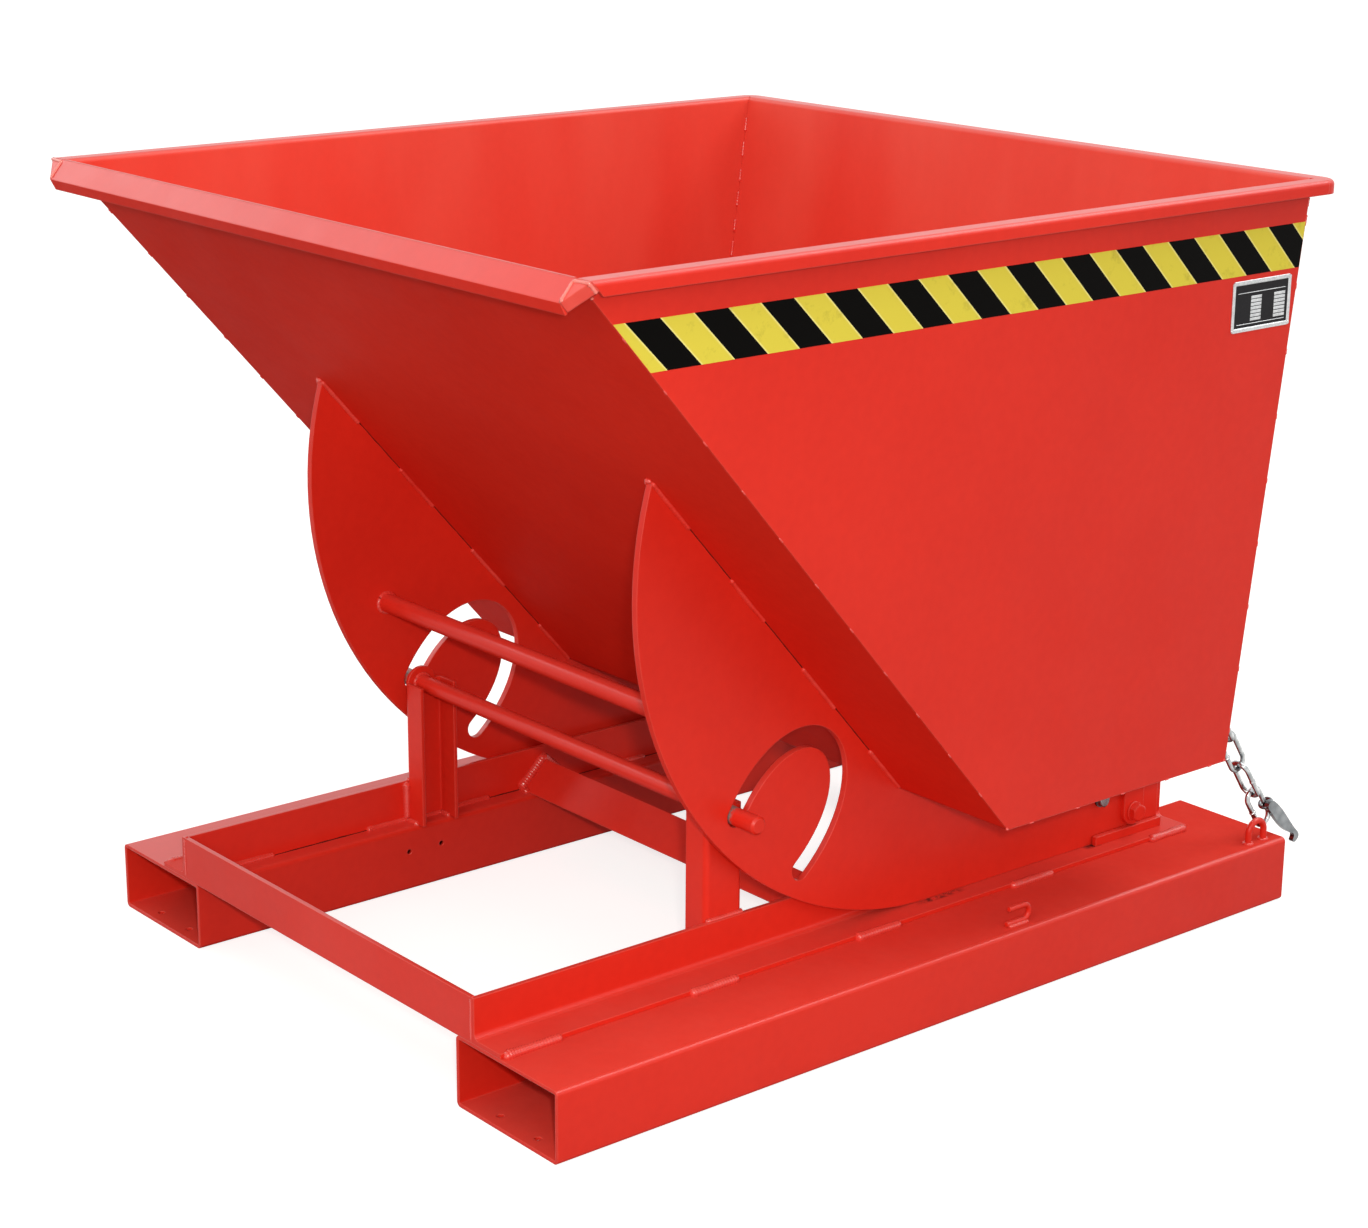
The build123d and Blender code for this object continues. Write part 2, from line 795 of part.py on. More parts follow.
lug_face = rocker_outside + lug_thickness
bolt_face = lug_face + washer_thickness
nodes["lug_washers"] = both_sides(
    washer(lug_y, lug_z, lug_face, bolt_diameter, washer_diameter, washer_thickness)
)
nodes["lug_bolts"] = both_sides(
    hex_bolt(lug_y, lug_z, bolt_face, bolt_diameter, bolt_head_flats, bolt_head_height)
)
plated_face = rocker_outside + plated_washer_thickness
plated_washer = washer(
    plated_y, plated_z, rocker_outside, plated_bolt_diameter, plated_washer_diameter, plated_washer_thickness
)
nodes["plated_washers"] = both_sides(plated_washer)
plated_bolt = hex_bolt(
    plated_y, plated_z, plated_face, plated_bolt_diameter, plated_head_flats, plated_head_height
)
nodes["plated_bolts"] = both_sides(plated_bolt)
nodes["data_plate"] = data_plate()
nodes["data_plate_rivets"] = data_plate_rivets()
add_pair("hazard_tape", hazard_tape())
nodes["centre_rivet"] = centre_rivet()

nodes["chain_anchor"] = chain_anchor()
for number in range(1, link_count + 1):
    nodes["chain_link_%d" % number] = chain_link(number)
nodes["chain_hook"] = chain_hook()

for name, solid in nodes.items():
    export_step(solid, "parts/%s.step" % name)
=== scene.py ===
import math
import random
from functools import partial

import bmesh
import bpy
from mathutils import Matrix, Vector, noise


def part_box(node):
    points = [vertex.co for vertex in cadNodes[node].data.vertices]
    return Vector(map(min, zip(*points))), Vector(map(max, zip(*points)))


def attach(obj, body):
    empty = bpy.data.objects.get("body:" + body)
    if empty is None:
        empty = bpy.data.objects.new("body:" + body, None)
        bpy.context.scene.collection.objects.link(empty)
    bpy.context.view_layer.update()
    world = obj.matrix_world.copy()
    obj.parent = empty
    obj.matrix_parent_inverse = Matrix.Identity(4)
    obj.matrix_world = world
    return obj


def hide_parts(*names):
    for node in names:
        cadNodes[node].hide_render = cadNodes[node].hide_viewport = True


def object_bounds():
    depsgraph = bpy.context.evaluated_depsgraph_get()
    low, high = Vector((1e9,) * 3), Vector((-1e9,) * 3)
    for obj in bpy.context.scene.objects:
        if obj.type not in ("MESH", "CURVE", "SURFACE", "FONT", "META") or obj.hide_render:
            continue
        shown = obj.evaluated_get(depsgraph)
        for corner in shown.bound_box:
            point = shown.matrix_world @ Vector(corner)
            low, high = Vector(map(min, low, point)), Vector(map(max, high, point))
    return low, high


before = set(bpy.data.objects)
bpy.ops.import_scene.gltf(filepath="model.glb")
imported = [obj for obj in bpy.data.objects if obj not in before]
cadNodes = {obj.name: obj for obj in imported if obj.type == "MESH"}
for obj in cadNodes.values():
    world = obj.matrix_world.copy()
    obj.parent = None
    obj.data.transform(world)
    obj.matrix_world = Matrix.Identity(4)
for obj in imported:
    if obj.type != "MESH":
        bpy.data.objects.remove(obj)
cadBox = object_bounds()
scene = bpy.context.scene
mm = 0.001
print("frame loaded:", len(cadNodes), "solids")


def hexToLinear(hexColour):
    # sRGB hex to the linear RGBA that Blender's sockets take
    channels = [int(hexColour[i:i + 2], 16) / 255 for i in (1, 3, 5)]
    return tuple(c / 12.92 if c <= 0.04045 else ((c + 0.055) / 1.055) ** 2.4 for c in channels) + (1.0,)


def addNode(tree, kind, inputs=None, **settings):
    # adds one shader node and sets its properties; a socket takes a value, a hex colour, the socket to link
    # it to, or a node, whose first output in use is linked
    node = tree.nodes.new("ShaderNode" + kind)
    for name, value in settings.items():
        setattr(node, name, value)
    for socket, value in (inputs or {}).items():
        if isinstance(value, bpy.types.Node):
            value = next(output for output in value.outputs if output.enabled)
        if isinstance(value, bpy.types.NodeSocket):
            tree.links.new(value, node.inputs[socket])
        elif isinstance(value, str):
            node.inputs[socket].default_value = hexToLinear(value)
        else:
            node.inputs[socket].default_value = value
    return node


def newMaterial(name):
    material = bpy.data.materials.new(name)
    material.use_nodes = True
    material.node_tree.nodes.clear()
    return material, partial(addNode, material.node_tree)


# camera: the photo's viewpoint, solved from its edges
cameraSettings = {
    "place": (3.1090, -2.6372, 1.6796),  # metres, in the part's frame
    "azimuth": 50.355,  # degrees
    "elevation": 16.744,
    "roll": 0.406,
    "focalPixels": 2896.3,
    "imageWidth": 1368,
    "sensorWidth": 36.0,  # mm
    "clipEnd": 100.0,  # metres
}


def makeCamera(settings):
    azimuth, elevation, roll = (math.radians(settings[k]) for k in ("azimuth", "elevation", "roll"))
    back = Vector((
        math.sin(azimuth) * math.cos(elevation),
        -math.cos(azimuth) * math.cos(elevation),
        math.sin(elevation),
    ))
    right = Vector((math.cos(azimuth), math.sin(azimuth), 0))
    up = back.cross(right)
    tiltedRight = right * math.cos(roll) + up * math.sin(roll)
    tiltedUp = up * math.cos(roll) - right * math.sin(roll)
    data = bpy.data.cameras.new("photoCamera")
    data.sensor_width = settings["sensorWidth"]
    data.lens = settings["focalPixels"] * settings["sensorWidth"] / settings["imageWidth"]
    data.clip_end = settings["clipEnd"]
    camera = bpy.data.objects.new("photoCamera", data)
    scene.collection.objects.link(camera)
    turn = Matrix((tiltedRight, tiltedUp, back)).transposed().to_4x4()
    camera.matrix_world = Matrix.Translation(settings["place"]) @ turn
    scene.camera = camera


makeCamera(cameraSettings)
print("camera placed")


# light: an even pale sky, weak soft lamps in front, on the right, behind and on the left for the sheen on
# the folds, and a small fill beside the camera that reaches under the hopper as the photo's did
studio = {
    "sky": "#F7F5F0",
    "skyStrength": 0.84,
    "floorSeen": "#B8B8B6",
    "floorLift": 0.76,  # own light that carries the seen floor up to white
    "floorBounce": "#8E8A86",  # what the floor throws back at the object
    "floorSize": 40.0,  # metres
    # name, place and diameter in metres, watts, colour
    "lamps": (
        ("fillLight", (3.151, -2.542, 1.776), 0.12, 60.0, "#FFF9F0"),
        ("frontLight", (2.3, -5.1, 3.7), 2.2, 50.0, "#FFF9F0"),
        ("sideLight", (5.5, -0.4, 3.6), 1.6, 14.0, "#FFFBF5"),
        ("backLight", (1.45, 3.05, 4.25), 3.0, 72.0, "#FFFFFF"),
        ("lipLight", (-5.2, -1.8, 3.6), 2.4, 30.0, "#FFFFFF"),
    ),
    "target": (0.0, 0.0, 0.55),
}


def addSeen(add):
    # 1 where the camera or a reflection looks, 0 for light on its way to the object
    path = add("LightPath")
    shine = add("Math", {0: path.outputs["Is Glossy Ray"], 1: path.outputs["Is Transmission Ray"]},
                operation="MAXIMUM")
    return add("Math", {0: path.outputs["Is Camera Ray"], 1: shine}, operation="MAXIMUM")


def makeStudio(settings):
    for name, place, size, power, colour in settings["lamps"]:
        data = bpy.data.lights.new(name, "AREA")
        data.shape = "DISK"
        data.size = size
        data.energy = power
        data.color = hexToLinear(colour)[:3]
        lamp = bpy.data.objects.new(name, data)
        lamp.location = place
        aim = Vector(settings["target"]) - lamp.location
        lamp.rotation_euler = aim.to_track_quat("-Z", "Y").to_euler()
        scene.collection.objects.link(lamp)

    world = bpy.data.worlds.new("studioSky")
    world.use_nodes = True
    world.node_tree.nodes.clear()
    add = partial(addNode, world.node_tree)
    seen = addSeen(add)
    sky = add("Background", {"Color": settings["sky"], "Strength": settings["skyStrength"]})
    white = add("Background", {"Color": "#FFFFFF", "Strength": 1.0})
    mix = add("MixShader", {0: seen, 1: sky, 2: white})
    add("OutputWorld", {"Surface": mix})
    scene.world = world

    half = settings["floorSize"] / 2
    mesh = bpy.data.meshes.new("studioFloor")
    corners = [(-half, -half, 0), (half, -half, 0), (half, half, 0), (-half, half, 0)]
    mesh.from_pydata(corners, [], [(0, 1, 2, 3)])
    floor = bpy.data.objects.new("studioFloor", mesh)
    scene.collection.objects.link(floor)
    # matt floor paint: plain pale ground that shows only the object's soft shadow
    material, add = newMaterial("mattFloorPaint")
    seen = addSeen(add)
    pale = add("BsdfDiffuse", {"Color": settings["floorSeen"]})
    lift = add("Emission", {"Color": "#FFFFFF", "Strength": settings["floorLift"]})
    lifted = add("AddShader", {0: pale, 1: lift})
    bounce = add("BsdfDiffuse", {"Color": settings["floorBounce"]})
    mix = add("MixShader", {0: seen, 1: bounce, 2: lifted})
    add("OutputMaterial", {"Surface": mix})
    mesh.materials.append(material)


makeStudio(studio)
scene.view_settings.view_transform = "Standard"
print("studio ready")


# alkyd enamel sprayed over welded mild steel: semi-gloss red, faint orange peel, paler on edges where it
# thins and as a painted highlight, a little dust on what faces up
enamelSettings = {
    "deep": "#D52719",
    "clean": "#E02D1D",
    # edge: the paler colour on plate edges, partly thin film and partly a painted highlight
    "edge": "#EC6054",
    "edgeHighlightShare": 0.5,  # how far the edge colour comes through
    "edgeRadius": 2.4,  # mm
    "dust": "#DE8076",
    "dustShare": 0.16,
    "dustSize": 80.0,  # mm
    # the film flows out on what faces up and stays dry and dull underneath: facing down, sideways, up
    "roughness": (0.62, 0.42, 0.30),
    "specular": (0.04, 0.22, 0.66),
    "patches": (-0.07, 0.1),  # what the dust's pattern adds to the roughness
    "ior": 1.5,
    "toneSize": 420.0,  # mm, broad clouds of film thickness
    "mottleSize": 14.0,  # mm, spray mottle
    "mottleShare": 0.25,  # of the mottle against the clouds
    "peelSize": 5.0,  # mm, coarser than the real 1 to 2 mm so that it shows
    "peelDepth": 0.6,  # mm
    "peelStrength": 0.06,
    "waveSize": 330.0,  # mm, how rolled sheet buckles between welds
    "waveDepth": 5.0,  # mm
    "waveStrength": 0.12,
}
# the same enamel over weld beads: it runs off the ripples and catches more glints, and its paler red is a
# painted highlight
weldFilm = dict(enamelSettings, deep="#D8342A", clean="#E2483E", roughness=(0.36, 0.28, 0.22),
                specular=(0.3, 0.8, 0.6))
# under the hopper the beads stay as dull as the sheet round them
shadedFilm = dict(enamelSettings, clean="#E24A40", roughness=(0.55, 0.4, 0.3), specular=(0.05, 0.3, 0.5))
# the small corner pieces are painted paler, as painted light that lifts their shaded, downward-facing
# skirts
cornerFilm = dict(enamelSettings, deep="#DE4036", clean="#E6544A", specular=(0.3, 0.35, 0.46))
# boots and the chain have scuffed the flat top of the pocket on the chain's side, which took its shine
troddenFilm = dict(enamelSettings, trodden=1.0, troddenBelow=200.0, dustShare=0.18)
# so did the rockers on the flat legs of the rails, but not on the upright legs' top edges
railFilm = dict(enamelSettings, trodden=0.95, troddenBelow=125.0, dustShare=0.2)
# the cross angles under the hopper got little spray, so their film dried duller
dullFilm = dict(enamelSettings, specular=(0.04, 0.14, 0.26))
# the beads on the lip's corners were left unground under a thin film, with sharp glints; their pale pink is
# a painted highlight
capFilm = dict(enamelSettings, deep="#E2574C", clean="#F08478", roughness=(0.26, 0.2, 0.16),
               specular=(0.4, 1.0, 1.0))
# where something runs on the paint: the rockers on the rails, the slots' edges on the guide rod
railRub = {
    "axis": "Y",
    "spots": ((96.0, 50.0), (418.0, 26.0)),  # mm, middle and half length of each worn stretch
    "across": "X",
    "track": 387.0,  # mm, middle of the track
    "reach": 9.0,  # mm, half its width
    "colour": "#4A2A26",
    "grain": 14.0,  # mm
}
rodRub = {
    "axis": "X",
    "spots": ((378.0, 11.0), (-378.0, 11.0)),
    "across": "Y",
    "track": 286.0,
    "reach": 90.0,  # more than the rod's own width, so all round it
    "colour": "#8D8A86",
    "grain": 9.0,
}
# the load scours the film dull and paler on every face that looks into the hopper; the paler colour is also
# painted light for the brighter inside
scourAndInsideLight = {
    "middle": (0.0, -60.0, 760.0),  # mm, a point inside the hopper
    "colour": "#F0705F",
    "least": 0.2,
    "most": 0.42,
    "streakSize": 160.0,  # mm
    "streakStretch": (1.0, 1.0, 0.3),
}


def makeEnamel(name, settings, onPlate=True, rub=None, scour=None):
    material, add = newMaterial(name)
    place = add("TexCoord")
    spot = place.outputs["Object"]
    normal = place.outputs["Normal"]
    clouds = add("TexNoise", {"Vector": spot, "Scale": 1 / (settings["toneSize"] * mm), "Detail": 3.0})
    mottle = add("TexNoise", {"Vector": spot, "Scale": 1 / (settings["mottleSize"] * mm), "Detail": 2.0})
    film = add("Mix", {"Factor": settings["mottleShare"], "A": clouds, "B": mottle}, data_type="FLOAT")
    spread = add("MapRange", {"Value": film, "From Min": 0.35, "From Max": 0.65})
    colour = add("Mix", {"Factor": spread, "A": settings["deep"], "B": settings["clean"]},
                 data_type="RGBA")
    # the paler inside colour: scouring, and painted light on the faces that look into the hopper
    if scour:
        inwards = add("VectorMath", {0: Vector(scour["middle"]) * mm, 1: spot}, operation="SUBTRACT")
        facing = add("VectorMath", {0: inwards, 1: normal}, operation="DOT_PRODUCT")
        within = add("Math", {0: facing, 1: 0.0}, operation="GREATER_THAN")
        tall = add("Mapping", {"Vector": spot, "Scale": scour["streakStretch"]})
        streaks = add("TexNoise", {"Vector": tall, "Scale": 1 / (scour["streakSize"] * mm),
                                   "Detail": 5.0})
        paleInsideShare = add("MapRange", {"Value": streaks, "From Min": 0.3, "From Max": 0.7,
                                "To Min": scour["least"], "To Max": scour["most"]})
        share = add("Math", {0: within, 1: paleInsideShare}, operation="MULTIPLY")
        colour = add("Mix", {"Factor": share, "A": colour, "B": scour["colour"]}, data_type="RGBA")

    # dust on what faces up
    split = add("SeparateXYZ", {0: normal})
    upward = split.outputs["Z"]
    flat = add("MapRange", {"Value": upward, "From Min": 0.6, "From Max": 1.0})
    specks = add("TexNoise", {"Vector": spot, "Scale": 1 / (settings["dustSize"] * mm), "Detail": 6.0,
                              "Roughness": 0.7})
    drift = add("MapRange", {"Value": specks, "From Min": 0.3, "From Max": 0.7,
                             "To Min": 0.7 * settings["dustShare"], "To Max": settings["dustShare"]})
    dust = add("Math", {0: flat, 1: drift}, operation="MULTIPLY")
    colour = add("Mix", {"Factor": dust, "A": colour, "B": settings["dust"]}, data_type="RGBA")

    peel = add("TexNoise", {"Vector": spot, "Scale": 1 / (settings["peelSize"] * mm), "Detail": 1.0})
    relief = {"Height": peel, "Strength": settings["peelStrength"], "Distance": settings["peelDepth"] * mm}
    if onPlate:
        shape = add("NewGeometry")
        bevel = add("Bevel", {"Radius": settings["edgeRadius"] * mm}, samples=6)
        waves = add("TexNoise", {"Vector": spot, "Scale": 1 / (settings["waveSize"] * mm), "Detail": 1.0})
        relief["Normal"] = add("Bump", {"Height": waves, "Strength": settings["waveStrength"],
                                        "Distance": settings["waveDepth"] * mm, "Normal": bevel})
        # the film pulls thin round a sharp plate edge; its paler colour there is also a painted highlight
        turn = add("VectorMath", {0: bevel, 1: shape.outputs["Normal"]}, operation="DOT_PRODUCT")
        edge = add("MapRange", {"Value": turn, "From Min": 0.995, "From Max": 0.85,
                                "To Max": settings["edgeHighlightShare"]})
        colour = add("Mix", {"Factor": edge, "A": colour, "B": settings["edge"]}, data_type="RGBA")
    bump = add("Bump", relief)

    # roughness and shine by the way that the film faces
    flow = []
    for below, beside, above in (settings["roughness"], settings["specular"]):
        under = add("MapRange", {"Value": upward, "From Min": -0.6, "From Max": -0.1, "To Min": below,
                                 "To Max": beside})
        over = add("MapRange", {"Value": upward, "From Min": 0.1, "From Max": 0.8,
                                "To Max": above - beside})
        flow.append(add("Math", {0: under, 1: over}, operation="ADD"))
    roughness, shine = flow
    if "trodden" in settings:
        level = add("MapRange", {"Value": upward, "From Min": 0.96, "From Max": 0.999,
                                 "To Max": settings["trodden"]})
        height = add("SeparateXYZ", {0: spot})
        low = add("Math", {0: height.outputs["Z"], 1: settings["troddenBelow"] * mm},
                  operation="LESS_THAN")
        lost = add("Math", {0: level, 1: low}, operation="MULTIPLY")
        left = add("Math", {0: 1.0, 1: lost}, operation="SUBTRACT")
        shine = add("Math", {0: shine, 1: left}, operation="MULTIPLY")
    least, most = settings["patches"]
    patches = add("MapRange", {"Value": specks, "To Min": least, "To Max": most})
    roughness = add("Math", {0: roughness, 1: patches}, operation="ADD")

    if rub:
        where = add("SeparateXYZ", {0: spot})
        worn = 0.0
        for centre, reach in rub["spots"]:
            away = add("Math", {0: where.outputs[rub["axis"]], 1: centre * mm}, operation="SUBTRACT")
            apart = add("Math", {0: away}, operation="ABSOLUTE")
            near = add("MapRange", {"Value": apart, "From Min": reach * mm, "From Max": 0.4 * reach * mm})
            worn = add("Math", {0: worn, 1: near}, operation="MAXIMUM")
        side = add("Math", {0: where.outputs[rub["across"]]}, operation="ABSOLUTE")
        off = add("Math", {0: side, 1: rub["track"] * mm}, operation="SUBTRACT")
        gap = add("Math", {0: off}, operation="ABSOLUTE")
        onTrack = add("MapRange", {"Value": gap, "From Min": rub["reach"] * mm,
                                   "From Max": 0.3 * rub["reach"] * mm})
        grain = add("TexNoise", {"Vector": spot, "Scale": 1 / (rub["grain"] * mm), "Detail": 5.0,
                                 "Roughness": 0.75})
        rough = add("MapRange", {"Value": grain, "From Min": 0.4, "From Max": 0.56})
        here = add("Math", {0: worn, 1: onTrack}, operation="MULTIPLY")
        mask = add("Math", {0: here, 1: rough}, operation="MULTIPLY")
        colour = add("Mix", {"Factor": mask, "A": colour, "B": rub["colour"]}, data_type="RGBA")
    shader = add("BsdfPrincipled", {"Base Color": colour, "Roughness": roughness, "Normal": bump,
                                    "IOR": settings["ior"], "Specular IOR Level": shine})
    add("OutputMaterial", {"Surface": shader})
    return material


plateEnamel = makeEnamel("sprayedRedEnamel", enamelSettings)
weldEnamel = makeEnamel("sprayedRedEnamelOnWelds", weldFilm, onPlate=False)
shadedEnamel = makeEnamel("sprayedRedEnamelOnShadedWelds", shadedFilm, onPlate=False)
cornerEnamel = makeEnamel("sprayedRedEnamelPaintedLightOnCorners", cornerFilm)
troddenEnamel = makeEnamel("sprayedRedEnamelScuffedOnTop", troddenFilm)
dullEnamel = makeEnamel("sprayedRedEnamelUnderHopper", dullFilm)
capEnamel = makeEnamel("sprayedRedEnamelOnCapWelds", capFilm, onPlate=False)
railEnamel = makeEnamel("sprayedRedEnamelRubbedByRockers", railFilm, rub=railRub)
rodEnamel = makeEnamel("sprayedRedEnamelWornBySlots", enamelSettings, rub=rodRub)
binEnamel = makeEnamel("sprayedRedEnamelScouredWithPaintedLightInside", enamelSettings, scour=scourAndInsideLight)
print("enamel mixed")


# electro-galvanised steel: bright, slightly milky zinc over drawn wire, with painted shade greying what
# faces down
zincSettings = {
    "bright": "#DADDDE",
    "milky": "#AEB3B5",
    # under: the painted shade colour on what faces down
    "under": "#3E4143",
    "paintedShadeShare": 0.85,
    "crystal": 9.0,  # mm, far coarser than real zinc crystals so that its clouds show
    "roughness": 0.2,
    "glossSpread": (-0.08, 0.12),  # what the clouds add to the roughness
    "relief": 0.1,
    "reliefDepth": 0.5,  # mm
}
# drop-forged steel under a thin zinc coat: greyer than the links, smooth, with a broad soft highlight
forgedSettings = dict(zincSettings, bright="#9A9EA1", milky="#74797C", under="#34373A", paintedShadeShare=0.9,
                      crystal=14.0, roughness=0.24)
# rolled aluminium, satin: pale, soft highlight, fine rolling grain
aluminiumSettings = dict(zincSettings, bright="#D6D7D8", milky="#B6B8BA", under="#8E9092", paintedShadeShare=0.1,
                         crystal=1.6, roughness=0.3, relief=0.06)


def makeMetal(name, settings):
    material, add = newMaterial(name)
    place = add("TexCoord")
    spot = place.outputs["Object"]
    cells = add("TexVoronoi", {"Vector": spot, "Scale": 1 / (settings["crystal"] * mm)})
    cloud = add("TexNoise", {"Vector": spot, "Scale": 1 / (4 * settings["crystal"] * mm), "Detail": 4.0})
    blend = add("Math", {0: cells, 1: cloud}, operation="MULTIPLY")
    spread = add("MapRange", {"Value": blend, "From Min": 0.05, "From Max": 0.4})
    tone = add("Mix", {"Factor": spread, "A": settings["bright"], "B": settings["milky"]},
               data_type="RGBA")
    # painted shade: what faces down is greyed towards the under colour
    split = add("SeparateXYZ", {0: place.outputs["Normal"]})
    below = add("MapRange", {"Value": split.outputs["Z"], "From Min": 0.1, "From Max": -0.7,
                             "To Max": settings["paintedShadeShare"]})
    paintedShadeTone = add("Mix", {"Factor": below, "A": tone, "B": settings["under"]}, data_type="RGBA")
    least, most = (settings["roughness"] + change for change in settings["glossSpread"])
    gloss = add("MapRange", {"Value": cloud, "To Min": least, "To Max": most})
    bump = add("Bump", {"Height": cloud, "Strength": settings["relief"],
                        "Distance": settings["reliefDepth"] * mm})
    shader = add("BsdfPrincipled", {"Base Color": paintedShadeTone, "Metallic": 1.0, "Roughness": gloss,
                                    "Normal": bump})
    add("OutputMaterial", {"Surface": shader})
    return material


zincSteel = makeMetal("electroGalvanisedSteel", zincSettings)
forgedSteel = makeMetal("dropForgedSteel", forgedSettings)
satinAluminium = makeMetal("rolledSatinAluminium", aluminiumSettings)
print("metals made")


# printed PVC warning tape: satin film, stripes at 45 degrees with a paler cut edge, creases, a little grime
tapeSettings = {
    "yellow": "#DECF4C",
    "rim": "#F6F0A2",
    "rimShare": 0.8,
    "rimWidth": 4.0,  # mm
    "grime": "#948934",
    "grimeShare": 0.55,
    "grimeSize": 26.0,  # mm
    "black": "#070605",
    "period": 101.5,  # mm along the tape
    "start": 414.0,  # mm, Y + Z where a black stripe starts
    "creaseSize": 55.0,  # mm
    "creaseStretch": (1.0, 0.4, 1.5),
    "creaseDepth": 1.5,  # mm
    "creaseStrength": 0.3,
    "roughness": 0.42,
    "specular": 0.03,
    "ior": 1.45,
}


def makeTape(name, settings):
    material, add = newMaterial(name)
    place = add("TexCoord")
    spot = place.outputs["Object"]
    split = add("SeparateXYZ", {0: spot})
    sloped = add("Math", {0: split.outputs["Y"], 1: split.outputs["Z"]}, operation="ADD")
    shifted = add("Math", {0: sloped, 1: settings["start"] * mm}, operation="SUBTRACT")
    counted = add("Math", {0: shifted, 1: settings["period"] * mm}, operation="DIVIDE")
    phase = add("Math", {0: counted}, operation="FRACT")
    # the first half of each period is black
    isBlack = add("Math", {0: phase, 1: 0.5}, operation="LESS_THAN")
    # distance from the middle of the yellow stripe, so that both of its edges get the pale rim
    fromMiddle = add("Math", {0: phase, 1: 0.75}, operation="SUBTRACT")
    apart = add("Math", {0: fromMiddle}, operation="ABSOLUTE")
    rimStart = 0.25 - settings["rimWidth"] / settings["period"]
    atRim = add("MapRange", {"Value": apart, "From Min": rimStart, "From Max": 0.25,
                             "To Max": settings["rimShare"]})
    blotch = add("TexNoise", {"Vector": spot, "Scale": 1 / (settings["grimeSize"] * mm), "Detail": 7.0,
                              "Roughness": 0.7})
    soiled = add("MapRange", {"Value": blotch, "From Min": 0.56, "From Max": 0.78,
                              "To Max": settings["grimeShare"]})
    yellow = add("Mix", {"Factor": atRim, "A": settings["yellow"], "B": settings["rim"]},
                 data_type="RGBA")
    grimy = add("Mix", {"Factor": soiled, "A": yellow, "B": settings["grime"]}, data_type="RGBA")
    stripes = add("Mix", {"Factor": isBlack, "A": grimy, "B": settings["black"]}, data_type="RGBA")
    stretch = add("Mapping", {"Vector": spot, "Scale": settings["creaseStretch"]})
    crease = add("TexNoise", {"Vector": stretch, "Scale": 1 / (settings["creaseSize"] * mm),
                              "Detail": 3.0, "Distortion": 0.8})
    bump = add("Bump", {"Height": crease, "Strength": settings["creaseStrength"],
                        "Distance": settings["creaseDepth"] * mm})
    shader = add("BsdfPrincipled", {"Base Color": stripes, "Roughness": settings["roughness"],
                                    "IOR": settings["ior"], "Specular IOR Level": settings["specular"],
                                    "Normal": bump})
    add("OutputMaterial", {"Surface": shader})
    return material


warningTape = makeTape("printedWarningTape", tapeSettings)

# black anodised print on the data plate: deep, dry, with a fine satin grain
printSettings = {
    "dark": "#0F0E11",
    "light": "#1F1E22",
    "grainSize": 3.0,  # mm, coarser than the real grain so that it shows
    "grainDetail": 4.0,
    "grainDepth": 0.2,  # mm
    "grainStrength": 0.1,
    "roughness": 0.45,
    "specular": 0.12,
}
# bare steel gone dark in the slits that the spray gun can't reach, and a painted contact shadow along the
# joints:
# dull brown, almost no shine
slitRustAndShadow = {
    "dark": "#3A0E0A",
    "light": "#57201A",
    "grainSize": 6.0,  # mm
    "grainDetail": 3.0,
    "roughness": 0.8,
    "specular": 0.05,
}


def makeDark(name, settings):
    # a dark dry surface in two shades, with relief where the settings give its depth
    material, add = newMaterial(name)
    place = add("TexCoord")
    grain = add("TexNoise", {"Vector": place.outputs["Object"],
                             "Scale": 1 / (settings["grainSize"] * mm),
                             "Detail": settings["grainDetail"]})
    tone = add("Mix", {"Factor": grain, "A": settings["dark"], "B": settings["light"]}, data_type="RGBA")
    look = {"Base Color": tone, "Roughness": settings["roughness"],
            "Specular IOR Level": settings["specular"]}
    if "grainDepth" in settings:
        look["Normal"] = add("Bump", {"Height": grain, "Strength": settings["grainStrength"],
                                      "Distance": settings["grainDepth"] * mm})
    shader = add("BsdfPrincipled", look)
    add("OutputMaterial", {"Surface": shader})
    return material


platePrint = makeDark("blackAnodisedPrint", printSettings)
rustAndShadowInSlits = makeDark("rustedSlitAndPaintedShadow", slitRustAndShadow)
print("tape, print and rust made")

chainLinks = ["chain_link_%d" % i for i in range(1, 6)]
# these solids have a finish of their own, and the rest takes plain enamel
ownFinishes = (
    (zincSteel, chainLinks),
    (forgedSteel, ("plated_bolts", "plated_washers", "chain_hook")),
    (satinAluminium, ("data_plate", "data_plate_rivets")),
    (warningTape, ("hazard_tape_left", "hazard_tape_right")),
    (cornerEnamel, ("lip_corner_left", "lip_corner_right")),
    (railEnamel, ("rail_left", "rail_right")),
    (binEnamel, ("chute_wall", "bottom_plate", "back_wall", "side_wall_left", "side_wall_right")),
    (dullEnamel, ("middle_cross_angle", "rear_cross_angle")),
    (rodEnamel, ("guide_rod",)),
    (troddenEnamel, ("fork_pocket_right",)),
)
finishes = {name: plateEnamel for name in cadNodes}
for material, names in ownFinishes:
    finishes.update((name, material) for name in names)
for name, material in finishes.items():
    mesh = cadNodes[name].data
    mesh.materials.clear()
    mesh.materials.append(material)
print("solids painted")


def addPiece(name, bm, materials, body, smooth=True):
    # turns a bmesh into a piece that rides on a body
    mesh = bpy.data.meshes.new(name)
    bmesh.ops.recalc_face_normals(bm, faces=bm.faces)
    bm.to_mesh(mesh)
    bm.free()
    for polygon in mesh.polygons:
        polygon.use_smooth = smooth
    for material in materials:
        mesh.materials.append(material)
    piece = bpy.data.objects.new(name, mesh)
    scene.collection.objects.link(piece)
    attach(piece, body)
    return piece


